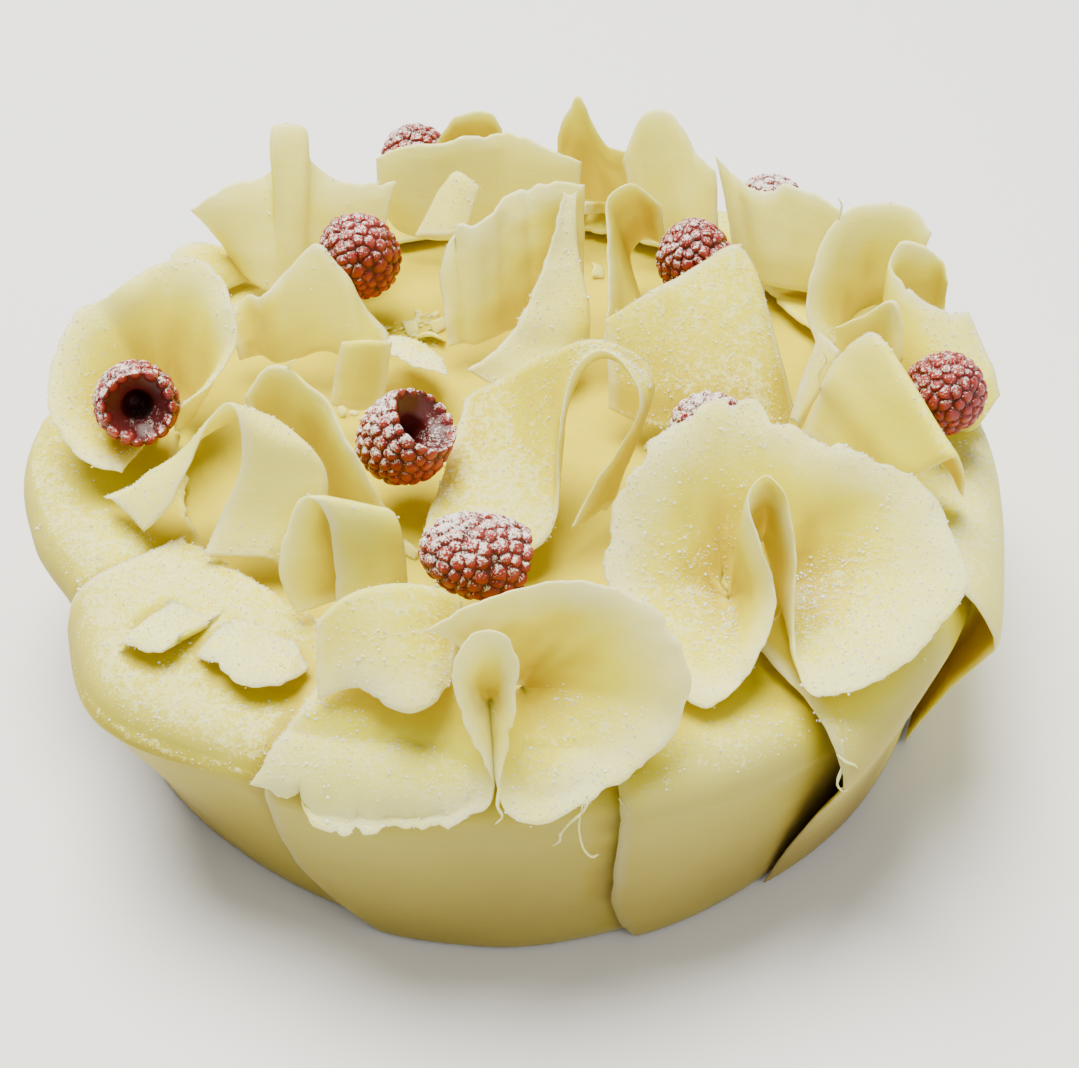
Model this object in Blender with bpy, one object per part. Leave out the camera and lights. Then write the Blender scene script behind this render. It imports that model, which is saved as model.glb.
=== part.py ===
"""Champagne cake: a round cake wrapped in curling sheets of white chocolate,
with folded chocolate ruffles and sugar-dusted red berries on top.

Origin: centre of the flat bottom. +Z up, the front faces -Y. Lengths in the tables are
millimetres; the meshes are made in metres.
"""
import math

import bmesh
import bpy
import numpy as np
from mathutils import Vector

MM = 0.001
OBJECT_NAME = "champagne_cake"

# The wrapped side: mid-surface of the chocolate collar. Foot radius every 30 degrees
# of azimuth, rim radius every 15 degrees.
FOOT_RADIUS = (98, 98, 98, 98, 98, 97, 96, 96, 98, 101, 99, 100)
RIM_RADIUS = (109, 109, 108, 107, 107, 107, 107, 107, 108, 108, 107, 102,
              110, 109, 105, 113, 109, 106, 105, 106, 107, 108, 108, 108)
FOLD_TOP = 56.0
FOLD_RADIUS = 8.0
FLAP_RISE = 3.5
CORE_INSET = 3.2
PANEL_THICK = 1.5
PANEL_FOOT = 0.6
RUFFLE_THICK = 1.3
RUFFLE_LIFT = 3.9
GAP = 0.35
BERRY_CLEAR = 0.6

# name: first and last azimuth, stand-off at both, flap's inner radius at both,
# corner rounding at the foot of both ends, scallop of the first edge in degrees
PANELS = {
    "wrap_left": (163, 214, 2.0, -0.5, 80, 78, 0, 0, 0),
    "wrap_front_left": (210, 253, 2.0, -0.5, 79, 76, 0, 0, 0),
    "wrap_front": (246, 286, 2.0, -0.5, 82, 86, 14, 0, -2),
    "wrap_front_right": (281, 318, 2.0, -0.8, 86, 84, 6, 0, 0),
    "wrap_flare": (302, 337, 8.5, -0.5, 84, 82, 0, 0, 3),
    "wrap_right": (329, 373, 8.5, -0.5, 76, 80, 6, 0, 0),
    "wrap_right_back": (368, 406, 2.0, -0.5, 82, 80, 0, 0, 0),
    "wrap_back_right": (401, 443, 2.0, -0.5, 82, 80, 0, 0, 0),
    "wrap_back": (438, 484, 2.0, -0.5, 80, 80, 0, 0, 0),
    "wrap_back_left": (479, 527, 2.0, -0.5, 80, 80, 0, 0, 0),
}
LAP = 2.0
PANEL_COLS = 9
PANEL_ROWS = 9

# Ruffles: each is one sheet between its free edge and its root, through the
# same stations: (free edge x, y, z), (root x, y, z); then columns and rows.
RUFFLES = {
    "front_fan": (38, 5, (
        ((-48, -98, 53), (-37, -89, 65)), ((-33, -108, 49), (-28, -85, 68)),
        ((-12, -110, 52), (-15, -84, 69)), ((-5, -107, 59), (-9, -84, 70)),
        ((-9, -101, 74), (-9, -83, 72)), ((-10, -97, 83), (-7, -82, 75)),
        ((-6, -94, 88), (-3, -81, 77)), ((0, -95, 87), (-1, -82, 74)),
        ((2, -99, 77), (-1, -84, 70)), ((-1, -108, 60), (0, -85, 66)),
        ((5, -111, 55), (2, -86, 65)), ((21, -104, 59), (5, -86, 64)),
        ((31, -97, 67), (8, -85, 63)), ((33, -93, 76), (9, -83, 64)),
        ((28, -87, 84), (8, -81, 65)), ((21, -83, 87), (7, -80, 67)),
        ((12, -81, 88), (5, -79, 69)), ((2, -83, 88), (3, -79, 71)),
        ((-8, -87, 87), (0, -79, 73)), ((-16, -90, 84), (-4, -79, 74)),
    )),
    "right_rose": (40, 5, (
        ((36, -90, 62), (43, -66, 62)), ((45, -84, 66), (45, -65, 63)),
        ((50, -74, 75), (46, -63, 65)), ((47, -68, 85), (47, -60, 68)),
        ((45, -62, 91), (47, -56, 72)), ((48, -59, 94), (49, -53, 75)),
        ((52, -62, 91), (51, -55, 72)), ((54, -68, 81), (53, -59, 68)),
        ((54, -77, 69), (54, -63, 65)), ((57, -88, 64), (56, -66, 63)),
        ((72, -84, 66), (59, -65, 63)), ((88, -68, 72), (60, -62, 64)),
        ((86, -55, 77), (60, -58, 65)), ((80, -47, 82), (58, -54, 66)),
        ((63, -41, 87), (54, -50, 67)), ((45, -33, 92), (47, -49, 67)),
        ((33, -38, 90), (43, -51, 66)), ((25, -44, 86), (42, -54, 65)),
        ((20, -52, 80), (42, -58, 64)), ((18, -65, 70), (41, -62, 62)),
        ((24, -79, 65), (40, -65, 62)), ((33, -88, 62), (41, -66, 62)),
    )),
    "centre_loop": (24, 4, (
        ((-19, -43, 64), (-11, -8, 71)), ((-13, -48, 64), (-9, -7, 72)),
        ((-6, -50, 64), (-5, -8, 75)), ((1, -50, 64), (0, -9, 79)),
        ((7, -46, 65), (5, -12, 85)), ((9, -38, 72), (9, -14, 89)),
        ((10, -30, 84), (14, -15, 92)),
        ((13, -24, 92), (18, -16, 93)), ((18, -22, 95), (22, -18, 93)),
        ((24, -25, 92), (26, -19, 91)), ((26, -29, 87), (29, -22, 87)),
        ((22, -32, 78), (27, -25, 79)), ((16, -37, 70), (24, -29, 71)),
        ((12, -43, 64), (20, -34, 64)),
    )),
    "front_leaf": (9, 4, (
        ((-36, -91, 67), (-36, -83, 79)), ((-28, -92, 70), (-30, -80, 83)),
        ((-20, -97, 70), (-22, -78, 84)), ((-14, -96, 71), (-14, -77, 82)),
        ((-11, -92, 72), (-9, -76, 77)),
    )),
    "left_loop": (13, 3, (
        ((-43, -65, 61), (-25, -58, 62)), ((-46, -61, 70), (-25, -58, 68)),
        ((-44, -57, 79), (-25, -56, 75)), ((-40, -56, 86), (-24, -54, 80)),
        ((-36, -58, 82), (-22, -56, 78)), ((-35, -61, 72), (-21, -59, 70)),
        ((-35, -67, 62), (-21, -63, 63)),
    )),
    "left_fold": (20, 4, (
        ((-77, -42, 63), (-88, -30, 64)), ((-71, -41, 69), (-81, -30, 67)),
        ((-66, -37, 78), (-72, -30, 72)), ((-61, -34, 87), (-64, -28, 78)),
        ((-57, -33, 90), (-53, -28, 83)), ((-55, -36, 85), (-42, -35, 81)),
        ((-56, -39, 77), (-38, -39, 75)), ((-60, -43, 69), (-40, -44, 68)),
        ((-64, -49, 62), (-47, -50, 62)),
    )),
    "left_wall": (11, 3, (
        ((-57, -19, 80), (-56, -16, 64)), ((-50, -18, 88), (-50, -19, 64)),
        ((-39, -26, 88), (-45, -24, 64)), ((-35, -34, 84), (-41, -30, 64)),
        ((-30, -39, 78), (-37, -35, 64)), ((-26, -42, 69), (-31, -39, 64)),
    )),
    "left_cup": (24, 4, (
        ((-84, -27, 66), (-82, -12, 62)), ((-92, -25, 68), (-86, -10, 62)),
        ((-100, -16, 71), (-89, -6, 62)), ((-102, -4, 76), (-90, 0, 62)),
        ((-98, 8, 82), (-89, 4, 64)), ((-88, 12, 86), (-85, 7, 65)),
        ((-79, 19, 89), (-79, 9, 65)), ((-69, 18, 89), (-73, 7, 65)),
        ((-63, 9, 86), (-70, 3, 64)), ((-61, 1, 80), (-69, -1, 62)),
        ((-66, -8, 75), (-71, -6, 62)), ((-73, -15, 73), (-75, -10, 62)),
    )),
    "back_left_tab": (16, 4, (
        ((-80, 56, 78), (-71, 54, 67)), ((-71, 57, 84), (-66, 47, 66)),
        ((-62, 60, 85), (-62, 44, 65)), ((-58, 62, 89), (-59, 43, 64)),
        ((-59, 64, 96), (-57, 43, 64)), ((-51, 65, 96), (-54, 43, 64)),
        ((-50, 63, 88), (-51, 44, 64)), ((-44, 62, 83), (-47, 46, 64)),
        ((-36, 64, 81), (-41, 50, 64)), ((-30, 66, 80), (-35, 53, 65)),
    )),
    "back_left_roof": (14, 3, (
        ((-68, 22, 68), (-65, 18, 63)), ((-63, 26, 74), (-60, 19, 64)),
        ((-58, 22, 77), (-56, 15, 65)), ((-53, 24, 82), (-52, 15, 66)),
        ((-46, 27, 88), (-46, 14, 68)), ((-42, 25, 86), (-41, 13, 68)),
        ((-37, 22, 78), (-36, 12, 66)), ((-30, 20, 68), (-31, 12, 63)),
    )),
    "back_band": (13, 3, (
        ((-36, 76, 80), (-36, 72, 70)), ((-29, 74, 85), (-30, 68, 66)),
        ((-19, 73, 87), (-22, 66, 65)), ((-11, 74, 88), (-13, 66, 65)),
        ((-2, 76, 88), (-3, 68, 65)), ((7, 74, 85), (6, 67, 65)),
        ((16, 72, 82), (14, 66, 65)),
    )),
    "back_tongue": (8, 3, (
        ((-21, 80, 82), (-22, 86, 65)), ((-15, 81, 90), (-15, 84, 65)),
        ((-7, 82, 90), (-7, 84, 65)), ((-4, 82, 85), (-2, 86, 65)),
    )),
    "centre_slope": (22, 4, (
        ((-18, 31, 77), (-16, 21, 65)), ((-14, 35, 88), (-13, 22, 65)),
        ((-9, 34, 89), (-9, 22, 65)), ((-4, 41, 90), (-4, 26, 65)),
        ((3, 45, 91), (3, 30, 65)), ((9, 47, 92), (10, 34, 65)),
        ((16, 50, 89), (16, 38, 65)),
    )),
    "centre_blade": (14, 3, (
        ((-12, 7, 67), (0, 4, 64)), ((-7, 9, 69), (9, 9, 65)),
        ((-2, 15, 71), (16, 17, 66)), ((2, 21, 75), (17, 24, 72)),
        ((6, 28, 80), (15, 32, 79)), ((9, 36, 86), (14, 38, 86)),
        ((11, 43, 92), (14, 43, 92)),
    )),
    "centre_flap": (9, 3, (
        ((-25, 48, 76), (-20, 54, 82)), ((-21, 45, 78), (-17, 54, 87)),
        ((-17, 43, 79), (-14, 54, 90)), ((-12, 44, 80), (-9, 51, 88)),
    )),
    "centre_apron": (11, 3, (
        ((-31, 12, 69), (-29, 24, 65)), ((-27, 6, 70), (-25, 23, 65)),
        ((-21, 2, 71), (-20, 19, 65)), ((-15, 1, 70), (-17, 14, 65)),
    )),
    "centre_edge": (12, 3, (
        ((20, 14, 68), (30, 30, 65)), ((21, 22, 76), (30, 38, 66)),
        ((21, 34, 84), (28, 50, 67)), ((21, 42, 90), (28, 54, 68)),
        ((27, 46, 92), (32, 56, 70)), ((34, 46, 86), (37, 52, 70)),
    )),
    "right_slope": (12, 4, (
        ((20, 9, 80), (21, -3, 66)), ((28, 13, 83), (30, -7, 64)),
        ((41, 21, 86), (44, -10, 64)), ((51, 26, 89), (58, -10, 64)),
        ((55, 22, 83), (63, 0, 64)),
    )),
    "back_spike": (12, 3, (
        ((10, 80, 84), (10, 83, 66)), ((12, 80, 91), (14, 83, 66)),
        ((15, 80, 96), (18, 82, 66)), ((18, 78, 90), (22, 82, 66)),
        ((22, 76, 84), (26, 80, 66)), ((28, 77, 82), (31, 79, 66)),
    )),
    "back_peak": (10, 3, (
        ((26, 72, 82), (30, 64, 66)), ((31, 76, 93), (35, 64, 66)),
        ((38, 76, 93), (41, 62, 66)), ((44, 70, 86), (45, 58, 66)),
        ((49, 66, 83), (50, 57, 66)),
    )),
    "right_back_wall": (13, 3, (
        ((48, 62, 90), (54, 54, 66)), ((53, 62, 84), (58, 50, 65)),
        ((59, 58, 82), (62, 46, 65)), ((66, 57, 85), (68, 44, 65)),
        ((73, 51, 85), (74, 42, 65)), ((79, 46, 82), (80, 40, 66)),
    )),
    "right_cup": (15, 4, (
        ((70, 15, 67), (78, 24, 63)), ((67, 22, 74), (78, 26, 63)),
        ((70, 31, 83), (79, 29, 63)), ((76, 39, 88), (81, 31, 64)),
        ((84, 41, 90), (84, 32, 64)), ((92, 38, 90), (88, 32, 65)),
        ((96, 32, 87), (91, 29, 66)),
    )),
    "right_curl": (20, 4, (
        ((99, 23, 80), (101, 27, 66)), ((98, 27, 84), (97, 28, 67)),
        ((93, 28, 87), (92, 26, 68)), ((88, 29, 87), (87, 23, 68)),
        ((86, 26, 83), (85, 18, 66)), ((90, 20, 80), (87, 10, 65)),
        ((95, 17, 78), (93, 0, 64)), ((101, 17, 76), (102, -6, 62)),
        ((104, 20, 74), (110, 2, 66)),
    )),
    "right_strip": (10, 3, (
        ((71, 7, 79), (74, 12, 66)), ((77, 6, 83), (78, 10, 66)),
        ((82, 5, 88), (81, 7, 67)), ((84, 2, 86), (83, 3, 67)),
        ((85, -3, 78), (83, -2, 66)),
    )),
    "right_fold": (16, 4, (
        ((63, -13, 65), (78, -30, 62)), ((68, -8, 76), (82, -33, 68)),
        ((73, -7, 86), (87, -36, 76)), ((77, -8, 89), (90, -37, 79)),
        ((80, -13, 83), (92, -36, 76)), ((84, -17, 77), (94, -34, 71)),
        ((87, -22, 70), (96, -31, 65)),
    )),
    "right_band": (7, 3, (
        ((67, 3, 81), (71, -3, 80)), ((64, -2, 74), (69, -5, 75)),
        ((61, -8, 65), (63, -10, 65)),
    )),
    "centre_scrap": (6, 3, (
        ((-42, -3, 65), (-38, 2, 79)), ((-36, -5, 65), (-33, 0, 81)),
        ((-30, -4, 65), (-27, 2, 79)),
    )),
    "left_flake": (5, 2, (
        ((-78, -71, 62), (-69, -59, 62)), ((-69, -76, 62), (-61, -64, 62)),
        ((-66, -71, 62), (-58, -62, 62)),
    )),
    "left_tongue": (6, 3, (
        ((-62, -74, 61), (-58, -65, 61)), ((-54, -82, 61), (-52, -65, 61)),
        ((-44, -83, 61), (-46, -69, 61)), ((-39, -78, 61), (-43, -70, 61)),
    )),
}

# Low leaves behind the back ruffles: azimuth, half width in degrees, height of the lip
REAR_LEAVES = {
    "rear_leaf_right": (28, 9, 70),
    "rear_leaf_back_right": (69, 9, 70),
    "rear_leaf_back": (91, 7, 66),
    "rear_leaf_back_left": (127, 10, 67),
    "rear_leaf_left": (149, 8, 70),
}

# Berries: centre, direction of the open end, width, length
BERRIES = {
    "berry_left": ((-82, -13, 74), (0.3, -0.8, 0.5), 18, 17),
    "berry_upper_left": ((-38, 41, 76), (0.2, 0.5, -0.9), 19, 18),
    "berry_back": ((-27, 90, 72), (0.2, 0.6, -0.8), 18, 18),
    "berry_centre_back": ((42, 39, 76), (0.3, 0.5, -0.8), 18, 18),
    "berry_right_back": ((63, 66, 72), (0.0, 0.4, -0.9), 18, 17),
    "berry_centre": ((-24, -25, 73), (0.6, -0.1, 0.75), 19, 18),
    "berry_front": ((-8, -60, 74), (0.9, 0.15, -0.35), 17, 20),
    "berry_behind_rose": ((42, -18, 70), (0.1, 0.5, -0.9), 18, 17),
    "berry_right": ((94, -8, 73), (0.1, 0.6, -0.8), 18, 18),
}
DRUPELETS_ROUND = 11
DRUPELET_RINGS = (0.16, 0.36, 0.57, 0.77, 0.94)
DRUPELET_PIT = 0.9

CHOCOLATE = (0.86, 0.80, 0.58, 1.0)
CAKE_CREAM = (0.84, 0.76, 0.55, 1.0)
BERRY_RED = (0.42, 0.04, 0.03, 1.0)


def catmull(points, where):
    """Point of a smooth open curve through the given points, at a station value."""
    last = len(points) - 1
    first = min(int(where), last - 1)
    share = where - first
    p1 = points[first]
    p2 = points[first + 1]
    p0 = points[first - 1] if first > 0 else 2 * p1 - p2
    p3 = points[first + 2] if first + 2 <= last else 2 * p2 - p1
    a = 2 * p1
    b = p2 - p0
    c = 2 * p0 - 5 * p1 + 4 * p2 - p3
    d = 3 * p1 - p0 - 3 * p2 + p3
    return 0.5 * (a + b * share + c * share ** 2 + d * share ** 3)


def ring_value(values, azimuth):
    """Value at an azimuth in degrees, smooth and closed round the cake."""
    count = len(values)
    where = (azimuth % 360.0) / (360.0 / count)
    first = int(where)
    ring = [np.array([float(values[(first + k) % count])]) for k in (-1, 0, 1, 2)]
    return float(catmull(ring, 1.0 + where - first)[0])


def rim_radius(azimuth):
    return ring_value(RIM_RADIUS, azimuth)


def collar_point(azimuth, run):
    """Radius, height and outward normal on the collar's mid-surface.

    run is 0 to 1 up the wall, 1 to 2 round the fold, above 2 the millimetres
    inward along the flap.
    """
    rim = rim_radius(azimuth)
    equator = FOLD_TOP - FOLD_RADIUS
    if run <= 1.0:
        foot = ring_value(FOOT_RADIUS, azimuth)
        radius = foot + (rim - foot) * run ** 1.3
        slope = (rim - foot) * 1.3 * max(run, 1e-6) ** 0.3 / equator
        size = math.hypot(1.0, slope)
        return radius, equator * run, 1.0 / size, -slope / size
    if run <= 2.0:
        angle = (run - 1.0) * math.radians(85)
        centre = rim - FOLD_RADIUS
        return (centre + FOLD_RADIUS * math.cos(angle), equator + FOLD_RADIUS * math.sin(angle),
                math.cos(angle), math.sin(angle))
    inward = run - 2.0
    start = rim - FOLD_RADIUS + FOLD_RADIUS * math.cos(math.radians(85))
    rise = FLAP_RISE * (1.0 - math.exp(-inward / 25.0))
    return start - inward, equator + FOLD_RADIUS * math.sin(math.radians(85)) + rise, 0.09, 0.996


def flap_height(azimuth, radius):
    """Height of the flap's mid-surface over a radius inside the fold."""
    rim = rim_radius(azimuth)
    if radius >= rim:
        return 0.0
    if radius > rim - FOLD_RADIUS:
        across = (radius - rim + FOLD_RADIUS) / FOLD_RADIUS
        return FOLD_TOP - FOLD_RADIUS + FOLD_RADIUS * math.sqrt(1.0 - across * across)
    return FOLD_TOP + FLAP_RISE * (1.0 - math.exp(-(rim - FOLD_RADIUS - radius) / 25.0))


def drape(point):
    """Lift a ruffle's point so that it stays clear above the wrap."""
    radius = math.hypot(point[0], point[1])
    azimuth = math.degrees(math.atan2(point[1], point[0]))
    rim = rim_radius(azimuth)
    lifted = np.array(point, float)
    if radius < rim - FOLD_RADIUS:
        lifted[2] = max(lifted[2], flap_height(azimuth, radius) + RUFFLE_LIFT)
        return lifted
    centre = rim - FOLD_RADIUS
    height = FOLD_TOP - FOLD_RADIUS
    out = radius - centre
    up = point[2] - height
    size = math.hypot(out, up)
    need = FOLD_RADIUS + RUFFLE_LIFT
    if up > 0 and size < need:
        scale = need / max(size, 1e-6)
        new_radius = centre + out * scale
        lifted[0] *= new_radius / radius
        lifted[1] *= new_radius / radius
        lifted[2] = height + up * scale
    return lifted


def shell_mesh(grid, thickness):
    """Closed solid of even thickness round a grid of points (columns x rows)."""
    cols, rows = grid.shape[:2]
    along = np.gradient(grid, axis=0)
    across = np.gradient(grid, axis=1)
    normal = np.cross(along, across)
    normal /= np.linalg.norm(normal, axis=2, keepdims=True) + 1e-12
    top = grid + normal * thickness / 2
    under = grid - normal * thickness / 2
    verts = np.concatenate([top.reshape(-1, 3), under.reshape(-1, 3)])
    half = cols * rows
    faces = []
    for i in range(cols - 1):
        for j in range(rows - 1):
            a = i * rows + j
            b = a + rows
            faces.append((a, b, b + 1, a + 1))
            faces.append((half + a, half + a + 1, half + b + 1, half + b))
    rim = [i * rows for i in range(cols)]
    rim += [(cols - 1) * rows + j for j in range(1, rows)]
    rim += [i * rows + rows - 1 for i in range(cols - 2, -1, -1)]
    rim += [j for j in range(rows - 2, 0, -1)]
    for k, a in enumerate(rim):
        b = rim[(k + 1) % len(rim)]
        faces.append((b, a, half + a, half + b))
    return verts, faces


def grow_grid(grid, by):
    """The same grid with its border moved outward along the surface."""
    grown = grid.copy()
    for first, second in ((0, 1), (-1, -2)):
        step = grid[first] - grid[second]
        size = np.linalg.norm(step, axis=-1, keepdims=True) + 1e-9
        grown[first] = grown[first] + step / size * by
    middle = grown.copy()
    for first, second in ((0, 1), (-1, -2)):
        step = middle[:, first] - middle[:, second]
        size = np.linalg.norm(step, axis=-1, keepdims=True) + 1e-9
        grown[:, first] = middle[:, first] + step / size * by
    return grown


def ruffle_grid(cols, rows, stations):
    """Mid-surface of a ruffle: smooth across its stations, bowed toward its root."""
    edge = [np.array(pair[0], float) for pair in stations]
    root = [np.array(pair[1], float) for pair in stations]
    fine = np.linspace(0, len(stations) - 1, 40 * len(stations))
    path = np.array([catmull(edge, w) * 0.7 + catmull(root, w) * 0.3 for w in fine])
    steps = np.concatenate([[0], np.cumsum(np.linalg.norm(np.diff(path, axis=0), axis=1))])
    where = np.interp(np.linspace(0, steps[-1], cols), steps, fine)
    grid = np.zeros((cols, rows, 3))
    for i, w in enumerate(where):
        near = catmull(edge, w)
        far = catmull(root, w)
        for j in range(rows):
            share = j / (rows - 1)
            point = near * (1 - share) + far * share
            grid[i, j] = drape(point)
    return grid


def rear_leaf_stations(azimuth, half_width, lip):
    """Edge and root points of a low leaf that lies round the back of the cake."""
    stations = []
    for k in range(5):
        share = k / 2.0 - 1.0
        angle = math.radians(azimuth + half_width * share)
        outer = 98.0 - 5.0 * share * share
        inner = 83.0 + 3.0 * math.cos(2.0 * share)
        edge_height = lip - 4.0 + 4.0 * math.cos(2.4 * share + 0.5)
        stations.append(((outer * math.cos(angle), outer * math.sin(angle), edge_height),
                         (inner * math.cos(angle), inner * math.sin(angle), 63.0)))
    return stations


def panel_grid(first, last, off_first, off_last, flap_first, flap_last,
               corner_first, corner_last, scallop):
    """Mid-surface of one wrap panel: up the wall, round the fold and in as a flap."""
    grid = np.zeros((PANEL_COLS, PANEL_ROWS, 3))
    wall = (0.0, 0.36, 0.74, 1.0)
    fold = (1.36, 1.7, 2.0)
    for i in range(PANEL_COLS):
        t = i / (PANEL_COLS - 1)
        for j in range(PANEL_ROWS):
            if j < 4:
                run = wall[j]
            elif j < 7:
                run = fold[j - 4]
            else:
                run = 2.0
            height = min(run, 1.0) * (FOLD_TOP - FOLD_RADIUS)
            start = first
            end = last
            low = max(0.0, 1.0 - height / 20.0)
            start += math.degrees(corner_first * low * low / FOOT_RADIUS[0])
            end -= math.degrees(corner_last * low * low / FOOT_RADIUS[0])
            start += scallop * math.sin(math.pi * min(height / 58.0, 1.0))
            azimuth = start + (end - start) * t
            if j >= 7:
                inner = flap_first + (flap_last - flap_first) * t
                inner -= 3.0 * math.sin(math.pi * t)
                reach = rim_radius(azimuth) - FOLD_RADIUS + 0.7 - inner
                run = 2.0 + reach * (j - 6) / 2.0
            radius, up, out_r, out_z = collar_point(azimuth, run)
            easing = t * t * (3 - 2 * t)
            lap = min(off_first, LAP)
            off = lap + (off_last - lap) * easing
            flare = (off_first - lap) * (1.0 - t) ** 3 * min(run, 1.0)
            off += flare / (1.0 + 2.6 * min(max(run - 1.0, 0.0), 1.0))
            radius += out_r * off
            up += out_z * off
            if j == 0:
                up = PANEL_FOOT
            angle = math.radians(azimuth)
            grid[i, j] = (radius * math.cos(angle), radius * math.sin(angle), up)
    return grid


def new_mesh(name, verts, faces):
    mesh = bpy.data.meshes.new(name)
    mesh.from_pydata([tuple(v * MM) for v in verts], [], faces)
    bm = bmesh.new()
    bm.from_mesh(mesh)
    bmesh.ops.recalc_face_normals(bm, faces=bm.faces)
    bmesh.ops.triangulate(bm, faces=bm.faces)
    bm.to_mesh(mesh)
    bm.free()
    return mesh


def add_object(name, mesh, collection, colour, roughness):
    item = bpy.data.objects.new(name, mesh)
    collection.objects.link(item)
    material = bpy.data.materials.new(name + "_material")
    material.use_nodes = True
    shader = material.node_tree.nodes["Principled BSDF"]
    shader.inputs["Base Color"].default_value = colour
    shader.inputs["Roughness"].default_value = roughness
    mesh.materials.append(material)
    return item


def core_mesh():
    """Solid cake under the wrap: the collar's shape set inward, with a closed top."""
    around = 36
    runs = (0.0, 0.5, 1.0, 1.5, 2.0, 32.0)
    verts = []
    for run in runs:
        for k in range(around):
            azimuth = 360.0 * k / around
            radius, up, out_r, out_z = collar_point(azimuth, run)
            radius -= out_r * CORE_INSET
            up -= out_z * CORE_INSET
            if run == 0.0:
                up = 0.0
            angle = math.radians(azimuth)
            verts.append((radius * math.cos(angle), radius * math.sin(angle), up))
    faces = []
    for ring in range(len(runs) - 1):
        for k in range(around):
            a = ring * around + k
            b = ring * around + (k + 1) % around
            faces.append((a, b, b + around, a + around))
    verts.append((0.0, 0.0, 0.0))
    verts.append((0.0, 0.0, FOLD_TOP + FLAP_RISE - CORE_INSET + 0.6))
    top = len(verts) - 1
    for k in range(around):
        a = (len(runs) - 1) * around + k
        b = (len(runs) - 1) * around + (k + 1) % around
        faces.append((a, b, top))
        faces.append(((k + 1) % around, k, top - 1))
    return new_mesh("cake_core", np.array(verts), faces)


def berry_profile(share):
    """Radius and height of the berry's skin, from its closed tip (0) to its mouth (1)."""
    angle = share * math.radians(128)
    radius = math.sin(angle) ** 0.82
    height = -math.cos(angle)
    return radius, height


def berry_frame(direction):
    """Rotation whose third column is the direction of the open end."""
    return Vector(direction).normalized().to_track_quat("Z", "Y").to_matrix()


def berry_mesh(name, centre, direction, width, length):
    """Hollow-ended berry: rings of raised drupelets with a pit at each junction."""
    half_width = width / 2.0
    half_length = length / 2.0 / 0.81
    count = DRUPELETS_ROUND
    rings = []
    for r, share in enumerate(DRUPELET_RINGS):
        radius, height = berry_profile(share)
        shift = 0.5 * (r % 2)
        rings.append([Vector((radius * half_width * math.cos(2 * math.pi * (k + shift) / count),
                              radius * half_width * math.sin(2 * math.pi * (k + shift) / count),
                              (height + 0.19) * half_length)) for k in range(count)])
    verts = [Vector((0, 0, -0.81 * half_length))]
    faces = []
    for ring in rings:
        verts.extend(ring)
    def pit(a, b, c):
        middle = (verts[a] + verts[b] + verts[c]) / 3.0
        verts.append(Vector((middle.x * DRUPELET_PIT, middle.y * DRUPELET_PIT,
                             middle.z * DRUPELET_PIT)))
        d = len(verts) - 1
        faces.extend([(a, b, d), (b, c, d), (c, a, d)])
    for k in range(count):
        faces.append((0, 1 + (k + 1) % count, 1 + k))
    for r in range(len(rings) - 1):
        lower = 1 + r * count
        upper = lower + count
        for k in range(count):
            nxt = (k + 1) % count
            if r % 2 == 0:
                pit(lower + k, lower + nxt, upper + k)
                pit(lower + nxt, upper + nxt, upper + k)
            else:
                pit(lower + k, lower + nxt, upper + nxt)
                pit(lower + k, upper + nxt, upper + k)
    mouth_start = 1 + (len(rings) - 1) * count
    inner_radius = 0.43 * half_width
    inner = []
    for depth, scale in ((0.5, 1.0), (-0.25, 0.62)):
        first = len(verts)
        for k in range(count):
            angle = 2 * math.pi * k / count
            verts.append(Vector((inner_radius * scale * math.cos(angle),
                                 inner_radius * scale * math.sin(angle), depth * half_length)))
        inner.append(first)
    for k in range(count):
        nxt = (k + 1) % count
        faces.append((mouth_start + k, mouth_start + nxt, inner[0] + nxt, inner[0] + k))
        faces.append((inner[0] + k, inner[0] + nxt, inner[1] + nxt, inner[1] + k))
    verts.append(Vector((0, 0, -0.38 * half_length)))
    for k in range(count):
        nxt = (k + 1) % count
        faces.append((inner[1] + k, inner[1] + nxt, len(verts) - 1))
    turn = berry_frame(direction)
    placed = [turn @ v + Vector(centre) for v in verts]
    return new_mesh(name, np.array([tuple(v) for v in placed]), faces)


def berry_cutter(name, centre, source):
    """Convex skin a little outside a berry, used to keep the sheets off it."""
    middle = Vector(centre) * MM
    bm = bmesh.new()
    for vertex in source.vertices:
        offset = vertex.co - middle
        bm.verts.new(middle + offset * (1.0 + BERRY_CLEAR * MM / offset.length))
    bmesh.ops.convex_hull(bm, input=bm.verts)
    bmesh.ops.delete(bm, geom=[v for v in bm.verts if not v.link_faces], context="VERTS")
    bmesh.ops.recalc_face_normals(bm, faces=bm.faces)
    mesh = bpy.data.meshes.new(name)
    bm.to_mesh(mesh)
    bm.free()
    return mesh


def bounds_of(mesh):
    data = np.array([v.co[:] for v in mesh.vertices])
    return data.min(axis=0), data.max(axis=0)


def boxes_meet(a, b, slack):
    return bool(np.all(a[0] - slack <= b[1]) and np.all(b[0] - slack <= a[1]))


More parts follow.
